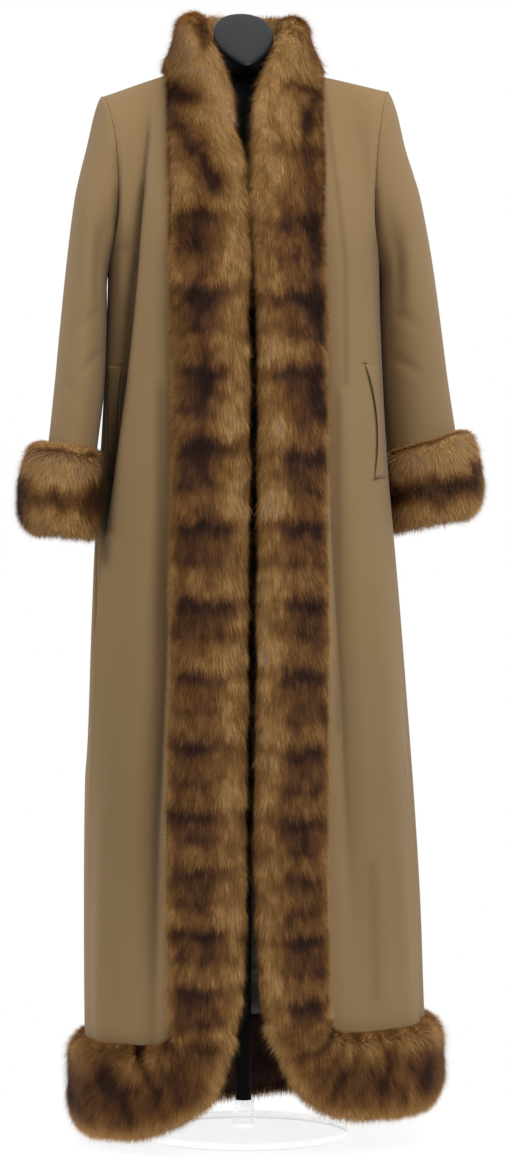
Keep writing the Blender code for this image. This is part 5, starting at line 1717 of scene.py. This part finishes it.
class CoatFur(bpy.types.PropertyGroup):
    """Sizes and colours of the fur"""

    hairs: IntProperty(name="Hairs", description="Number of hairs on the coat", default=640000)
    hair_length: Length(name="Hair length", description="Usual length of a hair", default=0.013)
    hair_width: Length(name="Hair width", description="Width of a hair at its root", default=0.0007)
    under: Share(name="Undercoat", description="The undercoat's share of the fur's depth", default=0.80)
    guard_share: Share(name="Guard hairs", description="Share of longer hairs that stand out", default=0.14)
    dusty: Colour(name="Dusty", description="Colour of the worn edges", default=(0.46, 0.30, 0.175))
    pale: Colour(name="Pale", description="Colour of the palest fur", default=(0.63, 0.375, 0.140))
    golden: Colour(name="Golden", description="Colour of the light fur", default=(0.365, 0.186, 0.056))
    brown: Colour(name="Brown", description="Colour of the middle fur", default=(0.205, 0.086, 0.029))
    dark: Colour(name="Dark", description="Colour of the dark bars", default=(0.064, 0.026, 0.015))


class CoatForm(bpy.types.PropertyGroup):
    """Colours of the dress form"""

    cover: Colour(name="Cover", description="Colour of the form's cover", default=(0.006, 0.006, 0.007))
    cap: Colour(name="Cap", description="Colour of the neck's cap", default=(0.017, 0.018, 0.020))
    stand: Colour(name="Stand", description="Colour of the pole", default=(0.008, 0.008, 0.008))
    base: Colour(name="Base", description="Colour of the glass base", default=(0.97, 0.98, 0.975))


class CoatStage(bpy.types.PropertyGroup):
    """Light, floor and camera"""

    floor: Colour(name="Floor", description="Colour of the floor", default=(0.12, 0.12, 0.12))
    floor_radius: Length(name="Floor radius", description="Size of the floor", default=0.5)
    glow: FloatProperty(name="Glow", description="Light from under the floor", default=0.92)
    world: FloatProperty(name="World", description="Strength of the light all round", default=1.0)
    front: FloatProperty(name="Front", description="Brightness of the room in front", default=0.20)
    key: FloatProperty(name="Key", description="Power of the main light", default=76.0, unit="POWER")
    fill: FloatProperty(name="Fill", description="Power of the second light", default=24.0, unit="POWER")
    distance: Length(name="Camera distance", description="Distance of the camera", default=4.6)
    height: Length(name="Camera height", description="Height of the camera", default=0.735)


class COAT_OT_dress_form(bpy.types.Operator):
    """Build the smooth dress form and finish its stand"""

    bl_idname = "coat.dress_form"
    bl_label = "Dress form"

    def execute(self, context):
        pieces = (
            ("form_body", form_torso(), "form_torso", "form_black"),
            ("form_neck_cap", form_cap(), "form_cap", "cap_grey"),
        )
        for name, rings, node, slot in pieces:
            made = loft(name, rings, form_look(slot))
            bpy.ops.object.shade_smooth_by_angle(angle=math.radians(SMOOTH_ANGLE))
            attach(made, BODY_NAME)
            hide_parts(node)
        for node, finish in (("form_pole", "stand_black"), ("form_base", "base_glass")):
            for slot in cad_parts[node].material_slots:
                slot.material = form_look(finish)
        return {"FINISHED"}


class COAT_OT_back(bpy.types.Operator):
    """Build the back and its lining"""

    bl_idname = "coat.back"
    bl_label = "Back and lining"

    def execute(self, context):
        wall = context.scene.coat_cloth.wall
        wool = wool_look()
        satin = satin_look()
        grid = dip_edges(back_panel(), rows=(-1,), columns=(0, -1))
        made = sheet("wool_back", grid, wall, (wool, satin), turned=True)
        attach(made, BODY_NAME)
        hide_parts("back")
        made = sheet("satin_back", back_lining(wall), LINING, (satin,), turned=True)
        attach(made, BODY_NAME)
        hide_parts("lining_back")
        return {"FINISHED"}


class COAT_OT_fronts(bpy.types.Operator):
    """Build both fronts"""

    bl_idname = "coat.fronts"
    bl_label = "Fronts"

    def execute(self, context):
        wall = context.scene.coat_cloth.wall
        for side, name in SIDES.items():
            grid = dip_edges(front_panel(side), rows=(-1,), columns=(-1,))
            looks = (wool_look(), satin_look())
            # Painted shade: darker wool in deep folds and along the listed fold strokes
            hollow = np.maximum(painted_crease_shade(grid), painted_fold_shade(grid, FOLD_PAINTED_SHADE[side]))
            made = sheet("wool_front_" + name, grid, wall, looks, False, side == RIGHT, hollow)
            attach(made, BODY_NAME)
            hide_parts("front_" + name)
        return {"FINISHED"}


class COAT_OT_sleeves(bpy.types.Operator):
    """Build both sleeves"""

    bl_idname = "coat.sleeves"
    bl_label = "Sleeves"

    def execute(self, context):
        wall = context.scene.coat_cloth.wall
        for side, name in SIDES.items():
            looks = (wool_look(), satin_look())
            grid = sleeve(side)
            # Painted shade along the sleeve's listed strokes
            hollow = painted_fold_shade(grid, SLEEVE_PAINTED_SHADE[side])
            made = sheet("wool_sleeve_" + name, grid, wall, looks, True, side == LEFT, hollow)
            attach(made, BODY_NAME)
            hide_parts("sleeve_" + name)
        return {"FINISHED"}


class COAT_OT_pockets(bpy.types.Operator):
    """Build both pocket welts with their mouths and bar tacks"""

    bl_idname = "coat.pockets"
    bl_label = "Pocket welts"

    def tack(self, side, part, finish):
        """A short row of stitches across one end of a pocket."""
        along = np.linspace(TACK_FROM, TACK_TO, TACK_POINTS) * TACK_LENGTH / FRONT_WIDTH
        across = pocket_mouth(side, np.array([part])) + along
        line = pocket_place(side, np.full(TACK_POINTS, part), across, TACK_RADIUS * TACK_OUT)
        turn = full_turn(TACK_SIDES)
        ring = np.stack([0 * turn, np.cos(turn), np.sin(turn)], axis=-1) * TACK_RADIUS
        swell = np.sin(np.linspace(TACK_TAPER, math.pi - TACK_TAPER, TACK_POINTS))[:, None, None]
        return loft("tack", line[:, None, :] + ring * swell, finish)

    def execute(self, context):
        wool = wool_look()
        # The first look is the painted shade of the pocket slits, the second the thread
        inside, thread = (plain_look(name) for name in PLAIN_LOOKS)
        for side, name in SIDES.items():
            grid = welt(side)
            turned = side == RIGHT
            # Painted shade of the fold strokes, carried onto the welt
            hollow = painted_fold_shade(grid, FOLD_PAINTED_SHADE[side])
            made = sheet("wool_welt_" + name, grid, WELT_WALL, (wool,), False, turned, hollow)
            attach(made, BODY_NAME)
            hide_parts("pocket_welt_" + name)
            # The dark strip of painted shade along the pocket slit
            mouth = sheet("pocket_mouth_" + name, mouth_strip(side), MOUTH_WALL, (inside,), False, turned)
            tacks = [self.tack(side, part, thread) for part in TACKS_AT]
            take(tacks[0])
            tacks[1].select_set(True)
            bpy.ops.object.join()
            tacks[0].name = "bar_tacks_" + name
            for one in (mouth, tacks[0]):
                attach(one, BODY_NAME)
        return {"FINISHED"}


class COAT_OT_fur_collar(bpy.types.Operator):
    """Build the fur collar"""

    bl_idname = "coat.fur_collar"
    bl_label = "Fur collar"

    def execute(self, context):
        sections, part = fur_collar(context.scene.coat_fur.under)
        sections = lumpy(sections, *COLLAR_LUMPS)
        half = len(part) // 2
        side = np.where(np.arange(len(part)) <= half, RIGHT, LEFT)[:, None]
        out = sections[:, COLLAR_CREST] - sections.mean(axis=1)
        fall = np.array(DOWN) + FLOW_SPREAD * unit(out * np.array([1.0, 1.0, 0.0]))
        flow = fall[:, None, :] + 0 * sections
        coords = (part[:, None], FUR_ACROSS, side)
        pelt = Pelt(sections, flow, coords, collar_tone, outer_cover(*COLLAR_COVER), SEWN_RIM)
        made = undercoat("pelt_collar", pelt, "fur_collar")
        hair = grow("hair_collar", pelt, COLLAR_HAIR_SEED, *COLLAR_HAIR)
        return {"FINISHED"}


class COAT_OT_fur_fronts(bpy.types.Operator):
    """Build the upright fur strips of both fronts"""

    bl_idname = "coat.fur_fronts"
    bl_label = "Fur fronts"

    def execute(self, context):
        under = context.scene.coat_fur.under
        for side, name in SIDES.items():
            z = strip_levels(side)
            sections = lumpy(strip_sections(side, z, under), *FRONT_LUMPS)
            across = FUR_ACROSS[None, :] + 0 * z[:, None]
            hidden = np.where((FUR_OUT < -0.02) & (FUR_ACROSS > 0.5), 1.0, 0.0)

            def tone_at(points, level, place, inside, side=side):
                # Fur turned inside: dark brown with painted shade
                return np.where(inside > 0.5, INSIDE_PAINTED_SHADE_TONE, strip_tone(side, level, place))

            inward = -side * np.where(across < 0.5, across - 0.5, -0.1 * (across - 0.5))
            flow = np.stack([FRONT_SPREAD * inward, 0 * inward, -1.0 + 0 * inward], axis=-1)
            coords = (z[:, None], FUR_ACROSS, hidden)
            pelt = Pelt(sections, flow, coords, tone_at, outer_cover(*FRONT_COVER), SEWN_RIM)
            made = undercoat("pelt_front_" + name, pelt, "fur_front_" + name)
            hair = grow("hair_front_" + name, pelt, FRONT_HAIR_SEED + side, *FRONT_HAIR)
        return {"FINISHED"}


class COAT_OT_fur_hem(bpy.types.Operator):
    """Build the fur band round the hem"""

    bl_idname = "coat.fur_hem"
    bl_label = "Fur hem"

    def band(self, name, sections, table, seed, share, flat, area):
        run = run_along(sections[:, FUR_POINTS // 4])
        across = FUR_ACROSS[None, :] + 0 * run[:, None]
        along = run[:, None] + 0 * across
        tone = hem_tone(sections, along, across, table, seed)
        middle = sections.mean(axis=1, keepdims=True)
        furrow = FURROW_DEPTH * step_up(tone, 0.3, 0.5) * step_down(across, 0.45, 0.4)
        sections = lumpy(sections - unit(sections - middle) * furrow[..., None], *HEM_LUMPS)

        def tone_at(points, run_at, place, inside):
            # Fur turned inside: dark brown with painted shade
            return np.where(inside > 0.5, INSIDE_PAINTED_SHADE_TONE, hem_tone(points, run_at, place, table, seed))

        fan = unit(sections[:, FUR_POINTS // 2 - 3] - sections[:, 1])
        flow = (FLOW_SPREAD * fan + np.array(DOWN))[:, None, :] + 0 * sections
        coords = (along, FUR_ACROSS, np.where(FUR_OUT < 0, 1.0, 0.0))
        pelt = Pelt(sections, flow, coords, tone_at, outer_cover(*HEM_COVER), SEWN_RIM)
        made = undercoat("pelt_" + name, pelt, "fur_" + name)
        hair = grow("hair_" + name, pelt, seed, share, *HEM_HAIR)

    def execute(self, context):
        under = context.scene.coat_fur.under * HEM_UNDER
        for side, name in SIDES.items():
            sections = fur_hem_front(side, under)
            hairs = (HEM_HAIR_SEED + side, HEM_FRONT_HAIRS)
            self.band("hem_" + name, sections, HEM_STROKES[side], *hairs, (0.14, 0.36), 0.045)
        self.band("hem_back", fur_hem_back(under), (), BACK_HAIR_SEED, HEM_BACK_HAIRS, (0.13, 0.72), 0.09)
        return {"FINISHED"}


class COAT_OT_fur_cuffs(bpy.types.Operator):
    """Build both turned-back fur cuffs"""

    bl_idname = "coat.fur_cuffs"
    bl_label = "Fur cuffs"

    def execute(self, context):
        under = context.scene.coat_fur.under
        for side, name in SIDES.items():
            sections, profile = fur_cuff(side, under)
            sections = lumpy(sections, *CUFF_LUMPS)
            turn = full_turn(len(sections))[:, None] + 0 * profile[None, :, 0]
            top = sleeve_ring(side, CUFF_FLOW_FROM, turn[:, 0])
            flow = (sleeve_ring(side, 0.0, turn[:, 0]) - top)[:, None, :] + 0 * sections
            cover = np.where(profile[:, 2] > 0.5, 1.0, CUFF_COVER)
            rim = step_up(profile[:, 0], CUFF_RIM_FROM, CUFF_RIM_OVER)
            coords = (profile[:, 0], turn)
            pelt = Pelt(sections, flow, coords, partial(cuff_tone, side=side), cover, rim, joined=True)
            made = undercoat("pelt_cuff_" + name, pelt, "fur_cuff_" + name, joined=True)
            hair = grow("hair_cuff_" + name, pelt, CUFF_HAIR_SEED + side, *CUFF_HAIR)
        return {"FINISHED"}


class COAT_OT_stage(bpy.types.Operator):
    """Set the floor, the lights and the camera"""

    bl_idname = "coat.stage"
    bl_label = "Stage"

    def light(self, name, power, size, place, aim):
        bpy.ops.object.light_add(type="AREA", location=place)
        made = bpy.context.object
        made.name = name
        made.data.energy = power
        made.data.size = size
        away = np.array(place) - np.array(aim)
        level = math.hypot(away[0], away[1])
        made.rotation_euler = (math.atan2(level, away[2]), 0.0, math.atan2(away[1], away[0]) + math.pi / 2)

    def execute(self, context):
        scene = context.scene
        settings = scene.coat_stage
        bpy.ops.object.select_all(action="DESELECT")
        bpy.ops.mesh.primitive_circle_add(
            vertices=FLOOR_SIDES, radius=settings.floor_radius, fill_type="NGON"
        )
        floor = context.object
        floor.name = "floor"
        glow = (("Emission Color", (*WHITE, 1.0)), ("Emission Strength", settings.glow))
        made = new_look("pale_floor", tuple(settings.floor), FLOOR_ROUGHNESS, glow)[0]
        floor.data.materials.append(made)

        world = scene.world or bpy.data.worlds.new("studio")
        scene.world = world
        world.use_nodes = True
        tree = Value(world.node_tree)
        way = tree.node("ShaderNodeTexCoord", {}, {}, "Generated")
        back = tree.node("ShaderNodeSeparateXYZ", {}, {"Vector": way}, "Y")
        front = (settings.front,) * 3
        sky = world.node_tree.nodes["Background"]
        join(tree, mixed(tree, back * SKY_TURNS + SKY_MIDDLE, front, WHITE), sky, "Color")
        sky.inputs["Strength"].default_value = settings.world
        self.light("key", settings.key, *KEY_LIGHT)
        self.light("fill", settings.fill, *FILL_LIGHT)

        turn = math.radians(CAMERA_AZIMUTH)
        place = (
            settings.distance * math.sin(turn) + CAMERA_ASIDE * math.cos(turn),
            -settings.distance * math.cos(turn) + CAMERA_ASIDE * math.sin(turn),
            settings.height,
        )
        bpy.ops.object.camera_add(location=place, rotation=(math.pi / 2, 0.0, turn))
        camera = context.object
        camera.name = "camera"
        camera.data.sensor_fit = "VERTICAL"
        camera.data.sensor_height = SENSOR
        camera.data.lens = SENSOR * settings.distance / PHOTO_HEIGHT_M
        scene.camera = camera
        scene.view_settings.view_transform = "Standard"
        return {"FINISHED"}


OPERATORS = (
    COAT_OT_dress_form,
    COAT_OT_back,
    COAT_OT_fronts,
    COAT_OT_sleeves,
    COAT_OT_pockets,
    COAT_OT_fur_collar,
    COAT_OT_fur_fronts,
    COAT_OT_fur_hem,
    COAT_OT_fur_cuffs,
    COAT_OT_stage,
)
GROUPS = {"coat_cloth": CoatCloth, "coat_fur": CoatFur, "coat_form": CoatForm, "coat_stage": CoatStage}


class COAT_PT_sidebar(bpy.types.Panel):
    """Lists the coat's pieces and values"""

    bl_idname = "COAT_PT_sidebar"
    bl_label = "Fur-trimmed coat"
    bl_space_type = "VIEW_3D"
    bl_region_type = "UI"
    bl_category = "Coat"

    def draw(self, context):
        for operator in OPERATORS:
            self.layout.operator(operator.bl_idname)
        for name, group in GROUPS.items():
            box = self.layout.box()
            for value in group.__annotations__:
                box.prop(getattr(context.scene, name), value)


CLASSES = (*GROUPS.values(), *OPERATORS, COAT_PT_sidebar)


def register():
    for one in CLASSES:
        bpy.utils.register_class(one)
    for name, group in GROUPS.items():
        setattr(bpy.types.Scene, name, PointerProperty(type=group))


def unregister():
    for name in GROUPS:
        delattr(bpy.types.Scene, name)
    for one in reversed(CLASSES):
        bpy.utils.unregister_class(one)


def main():
    register()
    for operator in OPERATORS:
        group, name = operator.bl_idname.split(".")
        getattr(getattr(bpy.ops, group), name)()


if __name__ == "__main__":
    main()
